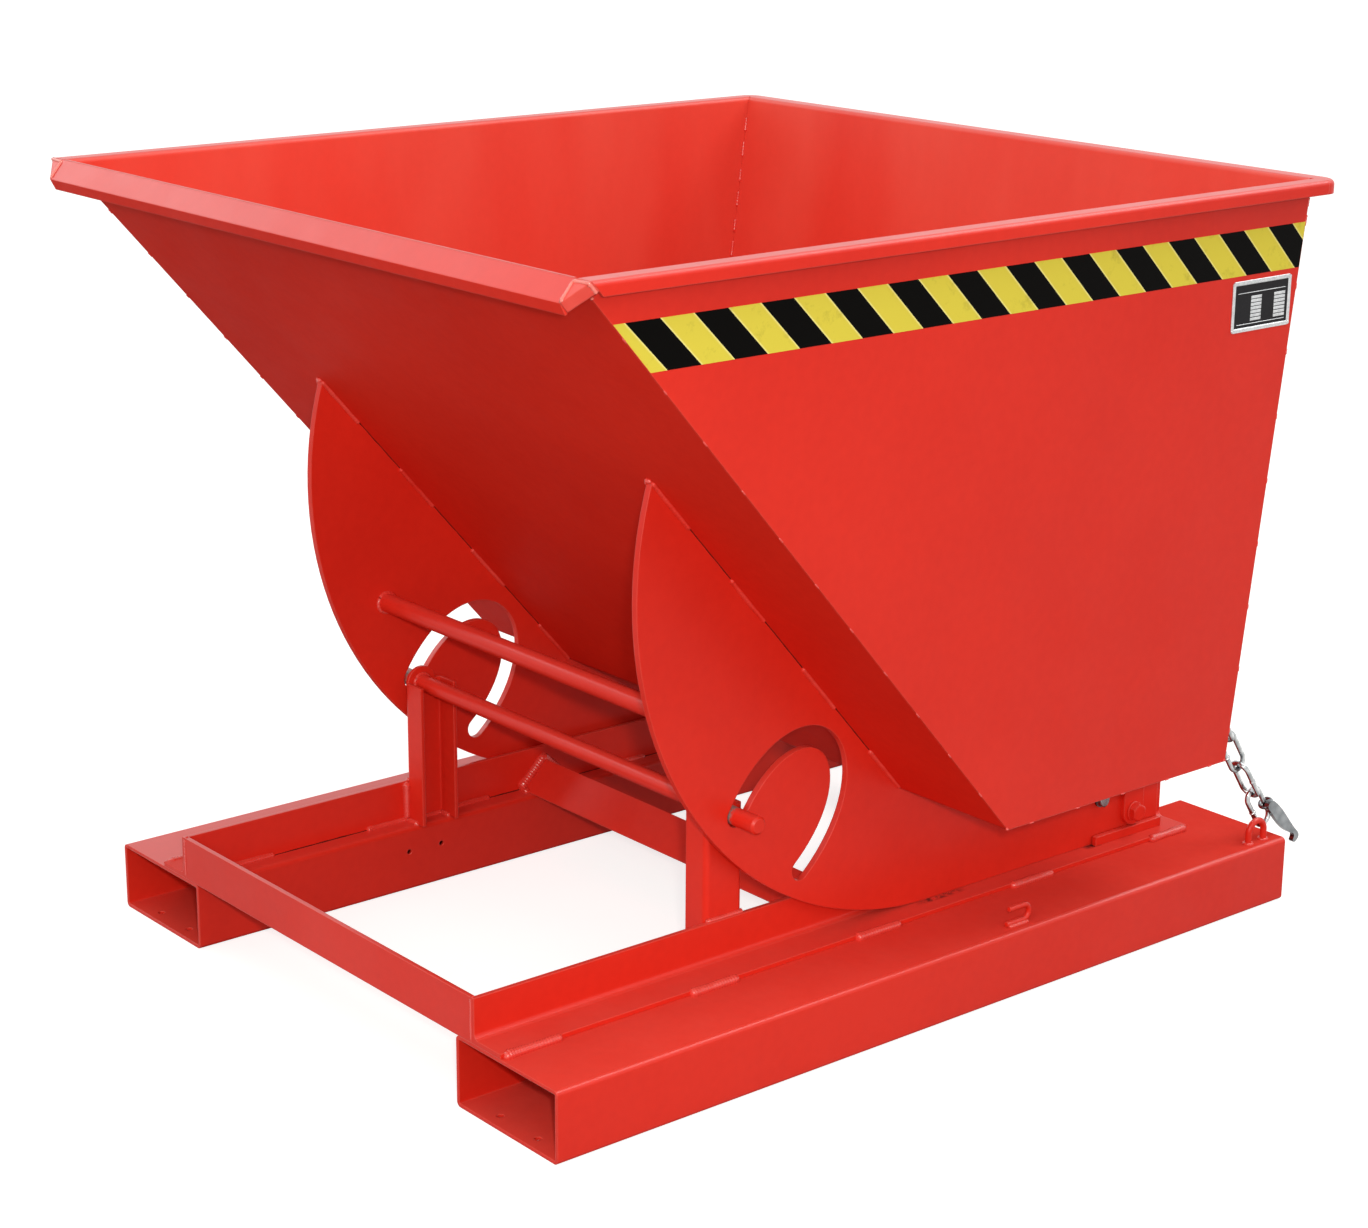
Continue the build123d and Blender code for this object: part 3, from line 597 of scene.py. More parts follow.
def squareTo(way):
    # two directions square to a line and to each other
    guide = Vector((0, 0, 1)) if abs(way.z) < 0.8 else Vector((0, 1, 0))
    across = way.cross(guide).normalized()
    return across, across.cross(way)


def ringPoints(centre, way, radius, count):
    # corner points of a circle round a line
    centre = Vector(centre)
    across, rise = squareTo(Vector(way))
    turns = [math.tau * i / count for i in range(count)]
    return [centre + (across * math.cos(a) + rise * math.sin(a)) * radius for a in turns]


def skinRings(bm, rings, closed=False):
    # faces between each ring of vertices and the next
    count = len(rings[0])
    links = list(zip(rings, rings[1:]))
    if closed:
        links.append((rings[-1], rings[0]))
    for first, second in links:
        for k in range(count):
            bm.faces.new((first[k], first[(k + 1) % count], second[(k + 1) % count], second[k]))


# weld beads: laid by hand, so each run swells at its start, ripples and strays a little
weldSettings = {
    "ripplePitch": 4.6,  # mm between the set waves of the weld pool
    "rippleDepth": 0.10,  # share of the bead's radius
    "halfRipple": 0.4,  # share of the waves half as long
    "swing": 0.16,  # share by which the radius wanders
    "swingRate": 0.06,  # per mm
    "stray": 0.5,  # mm
    "strayRate": 0.05,  # per mm
    "startSwell": 0.22,  # share of the radius
    "swellReach": 1.6,  # radii
    "endShare": 0.02,  # of the section, left at the very ends
    "step": 1.5,  # mm between rings of the mesh
    "sides": 10,
    "seed": 7,
}
beadLift = 0.8  # mm, how far the middle of a bead stands off the faces that it joins
slimLift = 0.6  # mm, the same for flatter beads
weldChance = random.Random(weldSettings["seed"])


def layBead(bm, corners, radius, closed=False):
    # one bead along a line of corner points, all in millimetres
    settings = weldSettings
    stops = [Vector(c) for c in corners]
    if closed:
        stops.append(stops[0])
    spots = []
    for start, end in zip(stops, stops[1:]):
        count = max(1, round((end - start).length / settings["step"]))
        spots += [start.lerp(end, i / count) for i in range(count)]
    if not closed:
        spots.append(stops[-1])
    total = sum((b - a).length for a, b in zip(stops, stops[1:]))
    phase = weldChance.uniform(0, math.tau)
    drift = weldChance.uniform(0, 100)
    rings = []
    run = 0.0
    last = len(spots) - 1
    for i, spot in enumerate(spots):
        before = spots[i - 1] if i or closed else spot
        after = spots[(i + 1) % len(spots)] if i < last or closed else spot
        way = (after - before).normalized()
        across, rise = squareTo(way)
        if i:
            run += (spot - spots[i - 1]).length
        turn = run * math.tau / settings["ripplePitch"]
        wave = math.sin(turn + phase) + settings["halfRipple"] * math.sin(2 * turn + phase)
        size = radius * (1 + settings["rippleDepth"] * wave)
        size *= 1 + settings["swing"] * noise.noise(Vector((run * settings["swingRate"], drift, 0)))
        if not closed:
            fromEnd = min(run, total - run)
            size *= 1 + settings["startSwell"] * math.exp(-(run / (settings["swellReach"] * radius)) ** 2)
            if fromEnd < radius:
                size *= math.sqrt(max(settings["endShare"], 1 - (1 - fromEnd / radius) ** 2))
        stray = settings["stray"] * noise.noise(Vector((run * settings["strayRate"], drift, 9)))
        middle = spot + across * stray + rise * stray
        ring = ringPoints(middle, way, size, settings["sides"])
        rings.append([bm.verts.new(point * mm) for point in ring])
    skinRings(bm, rings, closed)
    if not closed:
        bm.faces.new(rings[0][::-1])
        bm.faces.new(rings[-1])


def boxOf(name):
    # a node's box in millimetres
    low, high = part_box(name)
    return low / mm, high / mm


railLow, railHigh = boxOf("rail_right")
pocketLow, pocketHigh = boxOf("fork_pocket_right")
postLow, postHigh = boxOf("guide_post_right")
crossLow, crossHigh = boxOf("front_cross_angle")
rodLow, rodHigh = boxOf("guide_rod")
rockerLow, rockerHigh = boxOf("rocker_right")
tieLow, tieHigh = boxOf("tie_rod")
wallLow, wallHigh = boxOf("side_wall_right")
floorLow, floorHigh = boxOf("bottom_plate")
lipLow = boxOf("front_lip")[0]
ground = pocketHigh.z  # top of the pockets, which carries the rest of the base
wallFace = boxOf("data_plate")[0].x  # outer face of the side wall
wallInside = wallLow.x
# outline of the side wall: its foot is what lies within half a millimetre of its lowest point
foot = [v.co.y / mm for v in cadNodes["side_wall_right"].data.vertices if v.co.z / mm < wallLow.z + 0.5]
chuteTop = Vector((0, wallLow.y, wallHigh.z))
chuteFoot = Vector((0, min(foot), wallLow.z))
backFoot = Vector((0, max(foot), wallLow.z))
backTop = Vector((0, wallHigh.y, wallHigh.z))
chuteWay = (chuteFoot - chuteTop).normalized()
chuteOut = Vector((0, chuteWay.z, -chuteWay.y))
backWay = (backTop - backFoot).normalized()
backOut = Vector((0, backWay.z, -backWay.y))

# all sizes of the welds are in mm; a radius or blob is that of the bead
railWelds = {
    "stitches": ((9, 97), (308, 392), (605, 689), (909, 996), (1206, 1286)),  # from the rail's front end
    "edgeRadius": 6.2,
    "edgeLift": 2.6,
    "frontBlob": 6.0,
    "blobPlace": (1, 5, 2),  # in from the rail's edge, behind its front end, above the pocket
    "blobRun": (3, 12),
    "footStitches": ((75, 149), (311, 386), (462, 540), (770, 850), (1070, 1145)),
    "footRadius": 4.8,
    "footLift": 1.0,
}


def makeRailWelds(settings):
    bm = bmesh.new()
    front = railLow.y
    for side in (1, -1):
        x = side * railHigh.x
        z = ground + settings["edgeLift"]
        for start, end in settings["stitches"]:
            layBead(bm, [(x, front + start, z), (x, front + end, z)], settings["edgeRadius"])
        # the first run starts with a heavy blob over the corner of the rail
        inset, behind, above = settings["blobPlace"]
        across, along = settings["blobRun"]
        x = side * (railHigh.x - inset)
        y = front + behind
        z = ground + above
        layBead(bm, [(x, y, z), (x + side * across, y + along, z)], settings["frontBlob"])
        x = side * (railLow.x - beadLift)
        z = ground + settings["footLift"]
        for start, end in settings["footStitches"]:
            layBead(bm, [(x, front + start, z), (x, front + end, z)], settings["footRadius"])
    addPiece("rail_welds", bm, [weldEnamel], "base")


crossWelds = {
    "thick": 7.0,  # legs of the angle bars
    "cornerBlob": 4.2,
    "cornerBlobRun": ((2, 2.5), (3, 7)),  # behind the front face, below the top edge
    "cornerRadius": 1.7,
    "cornerFoot": 4,  # above the pocket
    "insideRadius": 4.2,
    "insideOff": 1,  # off the rail and off the upright leg
    "insideEnds": (3, 2),  # below the top edge, above the flat leg
    "toeRadius": 4.6,
    "toeLift": 1,
    "toeStart": 13.0,  # from the pocket's inner side
    "toeEnd": 4,  # from the rail
    "slopeRadius": 7.2,
    "slopeInset": 1.8,
    "slopeRise": 3.2,
    "slopeFoot": 2,  # above the pocket
    "slopeBlob": 7.8,
    "slopeBlobRun": (2, 1),  # towards the middle, towards the rail
    "slopeBlobOff": 1,
    "slopeBlobFoot": 3,
}


def makeCrossWelds(settings):
    bm = bmesh.new()
    thick = settings["thick"]
    rise = settings["slopeRise"]
    front = crossLow.y
    top = crossHigh.z
    for side in (1, -1):
        end = side * crossHigh.x
        toeStart = side * (pocketLow.x + settings["toeStart"])
        blob = [(end, front + behind, top - below) for behind, below in settings["cornerBlobRun"]]
        layBead(bm, blob, settings["cornerBlob"])
        corner = (
            (end, front + thick, top - slimLift),
            (end, front + slimLift, top - slimLift),
            (end, front + slimLift, ground + settings["cornerFoot"]),
        )
        layBead(bm, corner, settings["cornerRadius"])
        x = end - side * settings["insideOff"]
        y = front + thick + settings["insideOff"]
        below, above = settings["insideEnds"]
        layBead(bm, [(x, y, top - below), (x, y, ground + thick + above)], settings["insideRadius"])
        y = crossHigh.y + slimLift
        z = ground + settings["toeLift"]
        toeEnd = end - side * settings["toeEnd"]
        layBead(bm, [(toeStart, y, z), (toeEnd, y, z)], settings["toeRadius"])
        for name in ("middle_cross_angle", "rear_cross_angle"):
            low, high = boxOf(name)
            ridge = (low.y + high.y) / 2
            x = end - side * settings["slopeInset"]
            z = ground + settings["slopeFoot"]
            slope = ((low.y - rise, z), (ridge, high.z + rise), (high.y + rise, z))
            layBead(bm, [(x, y, z) for y, z in slope], settings["slopeRadius"])
            off = settings["slopeBlobOff"]
            inwards, outwards = settings["slopeBlobRun"]
            for y, z in ((low.y - off, ground + settings["slopeBlobFoot"]), (ridge, high.z + off)):
                layBead(bm, [(x - side * inwards, y, z), (x + side * outwards, y, z)],
                        settings["slopeBlob"])
            z = ground + beadLift
            for y in (low.y - beadLift, high.y + beadLift):
                layBead(bm, [(toeStart, y, z), (x, y, z)], settings["toeRadius"])
    addPiece("cross_angle_welds", bm, [weldEnamel], "base")


postWelds = {
    "web": 5.5,  # thickness of the channel
    "edgeRadius": 5.8,
    "edgeInset": 1.2,
    "edgeOff": 1,
    "edgeEnds": (1, 3),  # below the rail's top edge, above the pocket
    "edgeBlob": 7.0,
    "edgeBlobs": (3, 12),  # the same
    "edgeBlobLength": 5,
    "footRadius": 4.2,
    "footStart": 12,  # from the channel's open side
    "footBlob": 5.4,
    "footBlobRun": (14, 19),
    "footBlobLift": 1,
    "mouth": 14,
    "earRadius": 2.8,
    "earCorners": 28,
    "topRadius": 3.2,
    "topInset": 2,  # from the post's sides
    "topBlob": 4.4,
    "topBlobInsets": (1, 4),
    "topBlobLength": 3,
}


def makePostWelds(settings):
    bm = bmesh.new()
    rodY = (rodLow.y + rodHigh.y) / 2
    rodZ = (rodLow.z + rodHigh.z) / 2
    rodRadius = (rodHigh.z - rodLow.z) / 2
    web = settings["web"]
    z = ground + beadLift
    for side in (1, -1):
        against = side * (postHigh.x - settings["edgeInset"])
        footStart = side * (postLow.x + settings["footStart"])
        for face, out in ((postLow.y, -1), (postHigh.y, 1)):
            edge = face + out * beadLift
            y = edge + out * settings["edgeOff"]
            below, above = settings["edgeEnds"]
            layBead(bm, [(against, y, railHigh.z - below), (against, y, ground + above)],
                    settings["edgeRadius"])
            below, above = settings["edgeBlobs"]
            for top in (railHigh.z - below, ground + above):
                layBead(bm, [(against, y, top), (against, y, top - settings["edgeBlobLength"])],
                        settings["edgeBlob"])
            layBead(bm, [(footStart, edge, z), (against, edge, z)], settings["footRadius"])
            blob = [side * (postLow.x + run) for run in settings["footBlobRun"]]
            layBead(bm, [(x, edge, ground + settings["footBlobLift"]) for x in blob], settings["footBlob"])
        inside = side * (postHigh.x - web - beadLift)
        start = postLow.y + web + beadLift
        end = postHigh.y - web - beadLift
        mouth = side * (postLow.x + settings["mouth"])
        layBead(bm, [(mouth, start, z), (inside, start, z), (inside, end, z), (mouth, end, z)],
                settings["footRadius"])
        for x in (side * (postHigh.x - web - slimLift), side * (postHigh.x + slimLift)):
            ring = ringPoints((x, rodY, rodZ), (1, 0, 0), rodRadius + beadLift, settings["earCorners"])
            layBead(bm, ring, settings["earRadius"], closed=True)
        # along the rail's top edge, where the post's back stands against it
        x = side * (postHigh.x + beadLift)
        top = railHigh.z + beadLift
        inset = settings["topInset"]
        layBead(bm, [(x, postLow.y + inset, top), (x, postHigh.y - inset, top)], settings["topRadius"])
        ahead, behind = settings["topBlobInsets"]
        for y in (postLow.y + ahead, postHigh.y - behind):
            layBead(bm, [(x, y, top), (x, y + settings["topBlobLength"], top)], settings["topBlob"])
    addPiece("post_welds", bm, [weldEnamel], "base")


fittingWelds = {
    "eyeSpacing": 34.0,  # of the eye's two legs
    "eyeRod": 10.0,  # their diameter
    "ringRadius": 2.8,
    "ringCorners": 16,
    "hookRadius": 3.6,
    "hookEnds": (3, 12),  # left bare at the front and rear of the hook's foot
    "knots": 4,
    "knotRadius": 4.4,
    "knotReach": 2,
    "knotLift": 1.4,
}


def makeFittingWelds(settings):
    bm = bmesh.new()
    low, high = boxOf("chain_eye")
    x = (low.x + high.x) / 2
    radius = settings["eyeRod"] / 2 + beadLift
    for shift in (-settings["eyeSpacing"], settings["eyeSpacing"]):
        middle = (x, (low.y + high.y + shift) / 2, ground + slimLift)
        ring = ringPoints(middle, (0, 0, 1), radius, settings["ringCorners"])
        layBead(bm, ring, settings["ringRadius"], closed=True)
    low, high = boxOf("park_hook")
    start = low.y + settings["hookEnds"][0]
    end = high.y - settings["hookEnds"][1]
    z = ground + beadLift
    for x in (low.x + slimLift, high.x - slimLift):
        layBead(bm, [(x, start, z), (x, end, z)], settings["hookRadius"])
    # the outer run was made in short stabs, which stand out as knots
    reach = settings["knotReach"]
    z = ground + settings["knotLift"]
    for i in range(settings["knots"]):
        y = start + (end - start) * i / (settings["knots"] - 1)
        layBead(bm, [(high.x, y - reach, z), (high.x, y + reach, z)], settings["knotRadius"])
    addPiece("fitting_welds", bm, [weldEnamel], "base")


rockerWelds = {
    "stitches": ((-432, -370), (-301, -241), (-173, -112), (-47, 13)),  # along Y, on the chute
    "floorStitches": ((60, 125), (190, 255), (320, 385)),
    "radius": 3.6,
    "tipRadius": 3.4,
    "tieRadius": 3.2,
    "tieCorners": 28,
    "tieLift": 1,
    "tipOff": 1,
    "lugRun": (4, 60),  # below the lug's upper end
}


def onChute(y):
    # height of the chute's underside at this Y
    return chuteTop.z + (y - chuteTop.y) * chuteWay.z / chuteWay.y


def makeRockerWelds(settings):
    stitched = bmesh.new()
    bm = bmesh.new()
    tieY = (tieLow.y + tieHigh.y) / 2
    tieZ = (tieLow.z + tieHigh.z) / 2
    tieRadius = (tieHigh.z - tieLow.z) / 2
    tipOff = settings["tipOff"]
    tipY = settings["stitches"][0][0] - tipOff
    lugLow, lugHigh = boxOf("rear_lug_right")
    under = floorLow.z - beadLift
    for side in (1, -1):
        for face, out in ((rockerHigh.x, 1), (rockerLow.x, -1)):
            x = side * (face + out * beadLift)
            for start, end in settings["stitches"]:
                points = [Vector((x, y, onChute(y))) + chuteOut * beadLift for y in (start, end)]
                layBead(stitched, points, settings["radius"])
            for start, end in settings["floorStitches"]:
                layBead(stitched, [(x, start, under), (x, end, under)], settings["radius"])
        tip = Vector((0, tipY, onChute(tipY))) + chuteOut * beadLift
        edges = [Vector((side * x, 0, 0)) for x in (rockerLow.x - tipOff, rockerHigh.x + tipOff)]
        layBead(bm, [tip + edge for edge in edges], settings["tipRadius"])
        middle = (side * (rockerLow.x - beadLift), tieY, tieZ)
        ring = ringPoints(middle, (1, 0, 0), tieRadius + settings["tieLift"], settings["tieCorners"])
        layBead(bm, ring, settings["tieRadius"], closed=True)
        x = side * (lugLow.x + beadLift)
        for y in (lugLow.y - slimLift, lugHigh.y + slimLift):
            layBead(bm, [(x, y, lugHigh.z - drop) for drop in settings["lugRun"]], settings["radius"])
    addPiece("rocker_stitches", stitched, [shadedEnamel], "hopper")
    addPiece("rocker_welds", bm, [weldEnamel], "hopper")


seamWelds = {
    "dash": 26.0,
    "gap": 16.0,
    "wobble": 0.12,  # share of a dash's length
    "radius": 2.8,
    "backRun": (10.0, 818.0),  # up the back wall
    "chuteRun": (14.0, 1085.0),  # down the chute
    "floorEnds": (8, 12),  # left bare on the floor, front and rear
    "chuteSheet": 3.0,
    "backSheet": 5.0,
    "tack": 9.0,
    "tackGap": 82.0,
    "tackRadius": 1.1,
    "tackInset": 0.4,
    "tackEnds": (60, 30),  # left bare below the rim, on the chute's and the back's edge
    "cornerBlob": 2.0,
    "blobLength": 5,
    "closing": ((26.0, 14.0), (50.0, 16.0)),  # below the rim, length
    "closingRadius": 1.4,
}


def layDashes(bm, start, end, dash, gap, radius):
    # a row of short beads between two points
    way = (end - start).normalized()
    length = (end - start).length
    most = seamWelds["wobble"]
    run = gap / 2
    while run + dash < length:
        wobble = weldChance.uniform(-most, most) * dash
        layBead(bm, [start + way * run, start + way * (run + dash + wobble)], radius)
        run += dash + gap


def makeSeamWelds(settings):
    bm = bmesh.new()
    dash, gap, radius = (settings[k] for k in ("dash", "gap", "radius"))
    for side in (1, -1):
        inner = Vector((side * (wallInside - slimLift), 0, 0))
        outer = Vector((side * (wallFace - settings["tackInset"]), 0, 0))
        onBack = backFoot - backOut * (settings["backSheet"] + slimLift) + inner
        start, end = (onBack + backWay * run for run in settings["backRun"])
        layDashes(bm, start, end, dash, gap, radius)
        onSlope = chuteTop - chuteOut * (settings["chuteSheet"] + slimLift) + inner
        start, end = (onSlope + chuteWay * run for run in settings["chuteRun"])
        layDashes(bm, start, end, dash, 3 * gap, radius)
        base = Vector((0, 0, floorHigh.z + slimLift)) + inner
        ahead, behind = settings["floorEnds"]
        start, end = (base + Vector((0, y, 0)) for y in (chuteFoot.y + ahead, backFoot.y - behind))
        layDashes(bm, start, end, dash, 2 * gap, radius)
        # tacks along the outside corners, dressed almost flush
        chuteEnd, backEnd = settings["tackEnds"]
        runs = (
            (chuteTop + chuteWay * chuteEnd, chuteFoot),
            (chuteFoot, backFoot),
            (backFoot, backTop - backWay * backEnd),
        )
        for start, end in runs:
            layDashes(bm, start + outer, end + outer, settings["tack"], settings["tackGap"],
                      settings["tackRadius"])
        for corner in (chuteFoot, backFoot):
            layBead(bm, [corner + outer - chuteWay * settings["blobLength"], corner + outer],
                    settings["cornerBlob"])
        # short closing runs just under the rear end of the rim
        for drop, length in settings["closing"]:
            spot = backTop - backWay * drop + outer
            layBead(bm, [spot, spot - backWay * length], settings["closingRadius"])
    addPiece("hopper_seam_welds", bm, [weldEnamel], "hopper")


# beads round the folded corner pieces of the lip, which stay inside the hopper's overall box
capWelds = {
    "radius": 2.3,
    "blob": 3.3,
    "blobReach": 1.6,
    "lipDrop": 26.0,
    "lipEnd": 3,
    "skirt": 17.0,
    "setBack": 4.0,
    "tackDrop": 34,  # a last blob down the chute's edge
}


def makeCapWelds(settings):
    bm = bmesh.new()
    for side in (1, -1):
        root = Vector((side * wallFace, chuteTop.y, chuteTop.z))
        rimEnd = Vector((side * wallHigh.x, chuteTop.y, chuteTop.z))
        fold = Vector((side * wallFace, lipLow.y, chuteTop.z - settings["lipDrop"]))
        slope = (fold - root).normalized()
        edge = (fold - rimEnd).normalized()
        # between the lip and its corner piece
        start = root + slope * settings["setBack"]
        layBead(bm, [fold - slope * settings["lipEnd"], start], settings["radius"])
        # between the corner piece and the end of the side rim, over the top and down the slanted end
        bend = rimEnd + edge * settings["setBack"]
        hem = bend + chuteWay * settings["skirt"]
        layBead(bm, [start, bend, hem], settings["radius"])
        # blobs a few mm along each run, with their size as a share
        spots = (
            (fold - slope * 4, 1.0),
            (start, 0.8),
            (bend + chuteWay * 2, 1.0),
            (hem - chuteWay * 3, 0.9),
            (root + chuteWay * settings["tackDrop"] + Vector((side, 0, 0)), 0.7),
        )
        reach = chuteWay * settings["blobReach"]
        for spot, size in spots:
            layBead(bm, [spot - reach, spot + reach], settings["blob"] * size)
    low, high = Vector(cadBox[0]), Vector(cadBox[1])
    for vertex in bm.verts:
        vertex.co = [min(max(c, a), b) for c, a, b in zip(vertex.co, low, high)]
    addPiece("corner_cap_welds", bm, [capEnamel], "hopper")


anchorWelds = {
    "rise": 92.0,  # above the foot of the back wall
    "spacing": 37.0,  # of the anchor's two legs
    "rod": 10.0,  # their diameter
    "radius": 2.6,
    "ringCorners": 16,
}


def makeAnchorWelds(settings):
    bm = bmesh.new()
    low, high = boxOf("chain_anchor")
    x = (low.x + high.x) / 2
    middle = backFoot + backWay * (settings["rise"] / backWay.z)
    for dx in (-settings["spacing"] / 2, settings["spacing"] / 2):
        root = middle + Vector((x + dx, 0, 0)) + backOut * slimLift
        ring = ringPoints(root, backOut, settings["rod"] / 2 + beadLift, settings["ringCorners"])
        layBead(bm, ring, settings["radius"], closed=True)
    addPiece("anchor_welds", bm, [weldEnamel], "hopper")


# dark slits between one stitch and the next: bare rusted steel, and a painted contact shadow along the
# joints
slitSettings = {
    "radius": 0.9,
    "railEnds": (72, 8),  # left out at the rail's front and rear end
}


def makeSlits(settings):
    radius = settings["radius"]
    start = railLow.y + settings["railEnds"][0]
    end = railHigh.y - settings["railEnds"][1]
    bm = bmesh.new()
    for x in (railLow.x, -railLow.x):
        layBead(bm, [(x, start, ground), (x, end, ground)], radius)
    addPiece("rail_slits", bm, [rustAndShadowInSlits], "base")
    tipY = rockerWelds["stitches"][0][0]
    bm = bmesh.new()
    for x in (rockerHigh.x, rockerLow.x, -rockerHigh.x, -rockerLow.x):
        layBead(bm, [(x, y, onChute(y)) for y in (tipY, chuteFoot.y)], radius)
    addPiece("rocker_slits", bm, [rustAndShadowInSlits], "hopper")


makeRailWelds(railWelds)
makeCrossWelds(crossWelds)
makePostWelds(postWelds)
makeFittingWelds(fittingWelds)
makeRockerWelds(rockerWelds)
makeSeamWelds(seamWelds)
makeCapWelds(capWelds)
makeAnchorWelds(anchorWelds)
makeSlits(slitSettings)
print("welds laid")


# chain links are butt-welded on one straight side, which leaves a smooth collar
linkFlash = {
    "radius": 4.7,  # mm
    "length": 8.0,  # mm
    "offset": 14.0,  # mm from the link's middle
}


def makeLinkFlashes(settings):
    boxes = [boxOf(name) for name in chainLinks]
    middles = [(low + high) / 2 for low, high in boxes]
    way = (middles[-1] - middles[0]).normalized()
    sideways = Vector((1, 0, 0))
    reach = way * settings["length"] / 2
    for i, name in enumerate(chainLinks):
        # every second link is turned by a quarter
        across = sideways if i % 2 else way.cross(sideways)
        spot = middles[i] + across * settings["offset"]
        bm = bmesh.new()
        layBead(bm, [spot - reach, spot + reach], settings["radius"])
        addPiece(name + "_flash", bm, [zincSteel], name)


makeLinkFlashes(linkFlash)
print("chain links finished")


# data plate: pressed aluminium with a raised rim, a black field and two blank columns to stamp in
dataPlate = {
    "rimRise": 0.7,  # mm, as all sizes here that aren't called shares
    # the pressed rim from its outer edge in: share of the rise, inset, corner radius
    "rimRings": ((0.0, 0.0, 5.0), (0.7, 0.6, 4.4), (1.0, 1.6, 3.4), (1.0, 4.8, 1.6)),
    "fieldInset": 6.0,
    "fieldCorner": 1.0,
    "fieldDrop": 0.2,
    "columns": ((0.30, 0.50), (0.74, 0.95)),  # shares of the field's width
    "rows": 7,
    "top": 0.74,  # share of the field's height
    "bottom": 0.14,  # share
    "rowGap": 0.22,  # share of a row
    "cellRise": 0.25,
    "cellSoft": 0.4,  # slant of a cell's edges
    "rules": ((0.05, 0.95, 0.80), (0.05, 0.95, 0.07)),  # shares: start, end, height
    "ruleHeight": 0.9,
    "rivetInset": 3.4,
    "rivetSink": 0.1,
    "rivetRadius": 2.6,
    "rivetRise": 1.5,
    "rivetCorners": 16,
    # shares of the radius and of the rise, from the rim up over the dome into the hollow of the stem
    "rivetProfile": ((1.0, 0.0), (1.0, 0.25), (0.86, 0.62), (0.6, 0.88), (0.34, 0.98), (0.3, 0.8),
                     (0.12, 0.78)),
}


def roundedOutline(low, high, inset, corner, steps=6):
    # corner points of a rounded rectangle in Y and Z
    points = []
    turns = ((high.y, high.z, 0.0), (low.y, high.z, 90.0), (low.y, low.z, 180.0), (high.y, low.z, 270.0))
    for y, z, start in turns:
        centreY = y + (corner + inset) * (-1 if y == high.y else 1)
        centreZ = z + (corner + inset) * (-1 if z == high.z else 1)
        for i in range(steps + 1):
            angle = math.radians(start + 90 * i / steps)
            points.append((centreY + corner * math.cos(angle), centreZ + corner * math.sin(angle)))
    return points


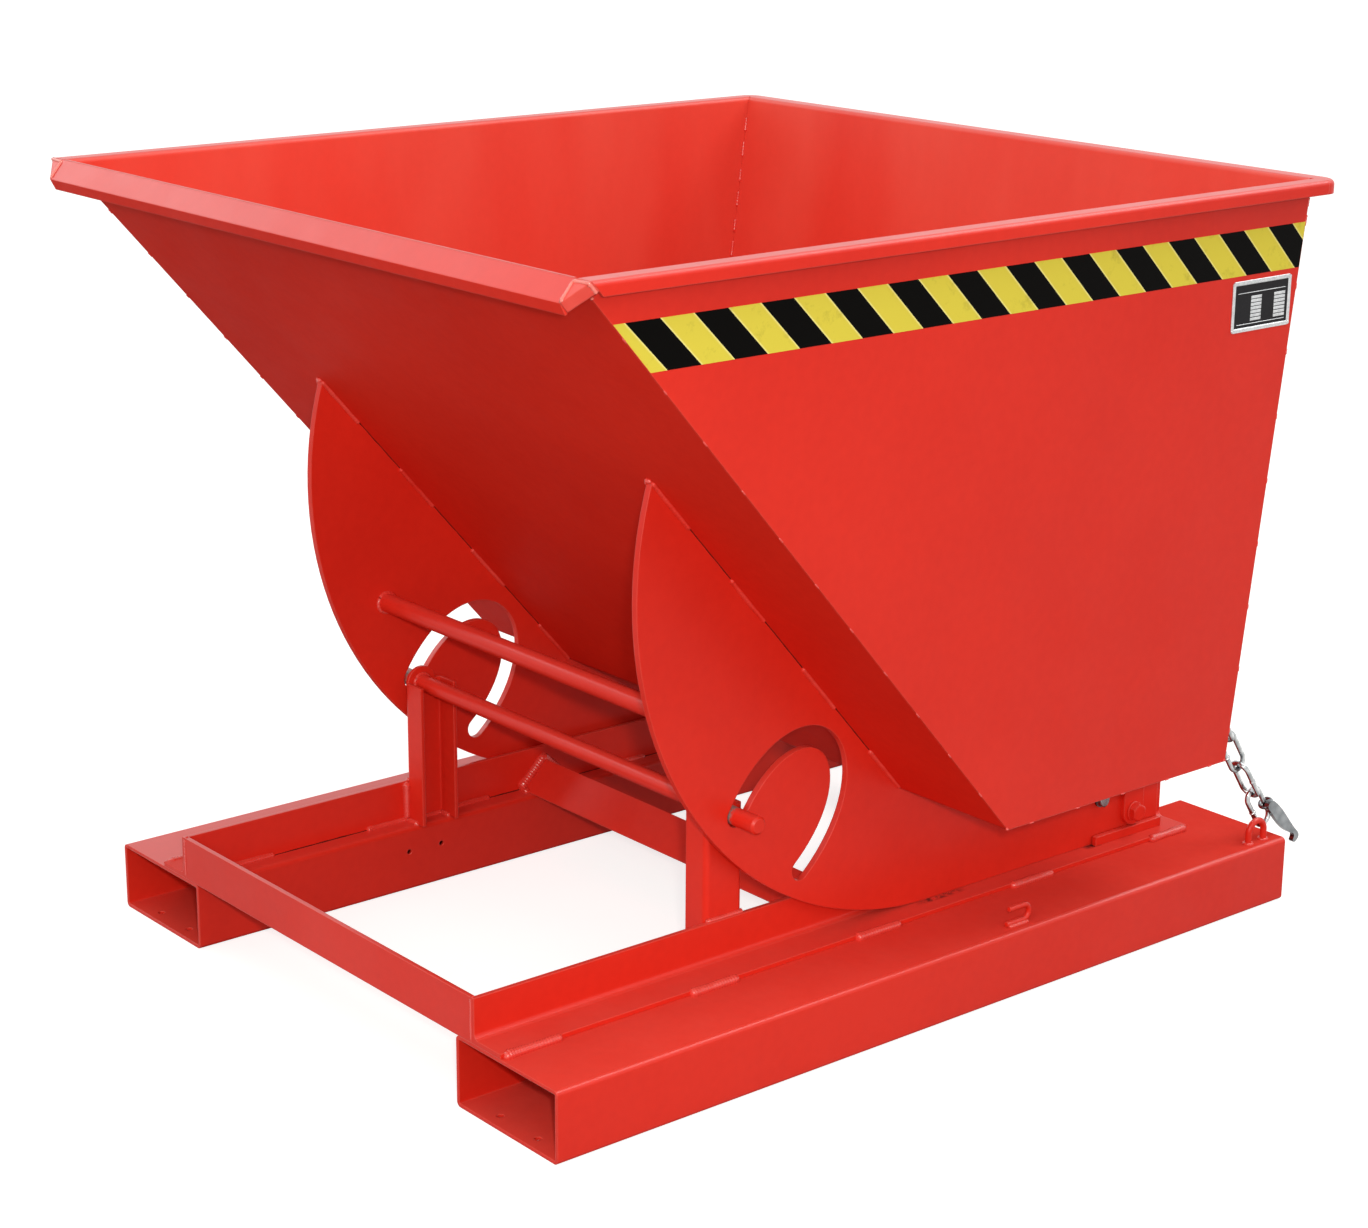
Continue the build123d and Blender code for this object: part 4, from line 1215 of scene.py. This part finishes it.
def makeDataPlate(settings):
    low, high = boxOf("data_plate")
    bm = bmesh.new()
    face = high.x
    crest = face + settings["rimRise"]
    base = face - settings["fieldDrop"]
    # rings from the wall outwards and then in over the rim to the field: place, inset, corner radius
    rings = [(low.x, *settings["rimRings"][0][1:])]
    for share, inset, radius in settings["rimRings"]:
        rings.append((face + settings["rimRise"] * share, inset, radius))
    rings.append((base, settings["fieldInset"], settings["fieldCorner"]))
    made = []
    for x, inset, radius in rings:
        outline = roundedOutline(low, high, inset, radius)
        made.append([bm.verts.new(Vector((x, y, z)) * mm) for y, z in outline])
    skinRings(bm, made)
    field = bm.faces.new(made[-1])
    field.material_index = 1
    bm.faces.new(made[0][::-1])

    inset = settings["fieldInset"]
    fieldLow = Vector((0, low.y + inset, low.z + inset))
    fieldSize = Vector((0, high.y - low.y - 2 * inset, high.z - low.z - 2 * inset))
    cells = []
    pitch = (settings["top"] - settings["bottom"]) / settings["rows"]
    for start, end in settings["columns"]:
        for row in range(settings["rows"]):
            bottom = settings["bottom"] + row * pitch
            cells.append((start, end, bottom, bottom + pitch * (1 - settings["rowGap"])))
    for start, end, height in settings["rules"]:
        cells.append((start, end, height, height + settings["ruleHeight"] / fieldSize.z))
    raised = base + settings["cellRise"]
    for start, end, bottom, top in cells:
        y0 = fieldLow.y + start * fieldSize.y
        y1 = fieldLow.y + end * fieldSize.y
        z0 = fieldLow.z + bottom * fieldSize.z
        z1 = fieldLow.z + top * fieldSize.z
        soft = min(settings["cellSoft"], (z1 - z0) / 4)
        rows = []
        for x, slant in ((base, 0.0), (raised, soft)):
            left, right = y0 + slant, y1 - slant
            down, up = z0 + slant, z1 - slant
            outline = ((left, down), (right, down), (right, up), (left, up))
            rows.append([bm.verts.new(Vector((x, y, z)) * mm) for y, z in outline])
        skinRings(bm, rows)
        bm.faces.new(rows[-1])
    plate = addPiece("data_plate_pressed", bm, [satinAluminium, platePrint], "hopper",
                     smooth=False)
    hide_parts("data_plate")

    # domed blind rivets in the corners of the rim, seated a little into it
    bm = bmesh.new()
    seat = crest - settings["rivetSink"]
    inset = settings["rivetInset"]
    for y in (low.y + inset, high.y - inset):
        for z in (low.z + inset, high.z - inset):
            rows = []
            for share, rise in settings["rivetProfile"]:
                middle = (seat + rise * settings["rivetRise"], y, z)
                radius = share * settings["rivetRadius"]
                points = ringPoints(middle, (1, 0, 0), radius, settings["rivetCorners"])
                rows.append([bm.verts.new(point * mm) for point in points])
            skinRings(bm, rows)
            bm.faces.new(rows[-1])
            bm.faces.new(rows[0][::-1])
    rivets = addPiece("data_plate_blind_rivets", bm, [satinAluminium], "hopper")
    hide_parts("data_plate_rivets")


makeDataPlate(dataPlate)
print("data plate fixed")


# hexagon bolts: chamfered head on the left and right, in place of the plain prisms
boltHeads = {
    "lug_bolts": {"flats": 24.0, "height": 10.0, "finish": plateEnamel, "slot": "red_enamel"},
    "plated_bolts": {"flats": 19.0, "height": 7.5, "finish": forgedSteel, "slot": "zinc_plated_steel"},
}
boltShape = {
    "steps": 48,  # round the head
    "crown": 0.94,  # radius of the flat top as a share of half the width over flats
    "inner": 0.6,  # share at which the flat top's inner ring lies
    "chamfer": 0.577,  # slope of the chamfer, 30 degrees
}


def makeBolt(name, settings, shape):
    low, high = boxOf(name)
    y = (low.y + high.y) / 2
    z = (low.z + high.z) / 2
    half = settings["flats"] / 2
    top = settings["height"]
    crown = shape["crown"] * half
    seat = high.x - top
    sixth = math.pi / 3
    bm = bmesh.new()
    for side in (1, -1):
        rows = [[], [], [], []]
        for k in range(shape["steps"]):
            angle = math.tau * k / shape["steps"]
            corner = half / math.cos((angle + sixth / 2) % sixth - sixth / 2)
            cut = top - max(0.0, corner - crown) * shape["chamfer"]
            profile = ((corner, 0.0), (corner, cut), (crown, top), (shape["inner"] * half, top))
            for row, (radius, rise) in zip(rows, profile):
                onFlat = (y + radius * math.cos(angle), z + radius * math.sin(angle))
                row.append(bm.verts.new(Vector((side * (seat + rise), *onFlat)) * mm))
        skinRings(bm, rows)
        bm.faces.new(rows[-1])
        bm.faces.new(rows[0])
    piece = addPiece(name + "_chamfered", bm, [settings["finish"]], "hopper",
                     smooth=False)
    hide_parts(name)


for name, settings in boltHeads.items():
    makeBolt(name, settings, boltShape)
print("bolts set")
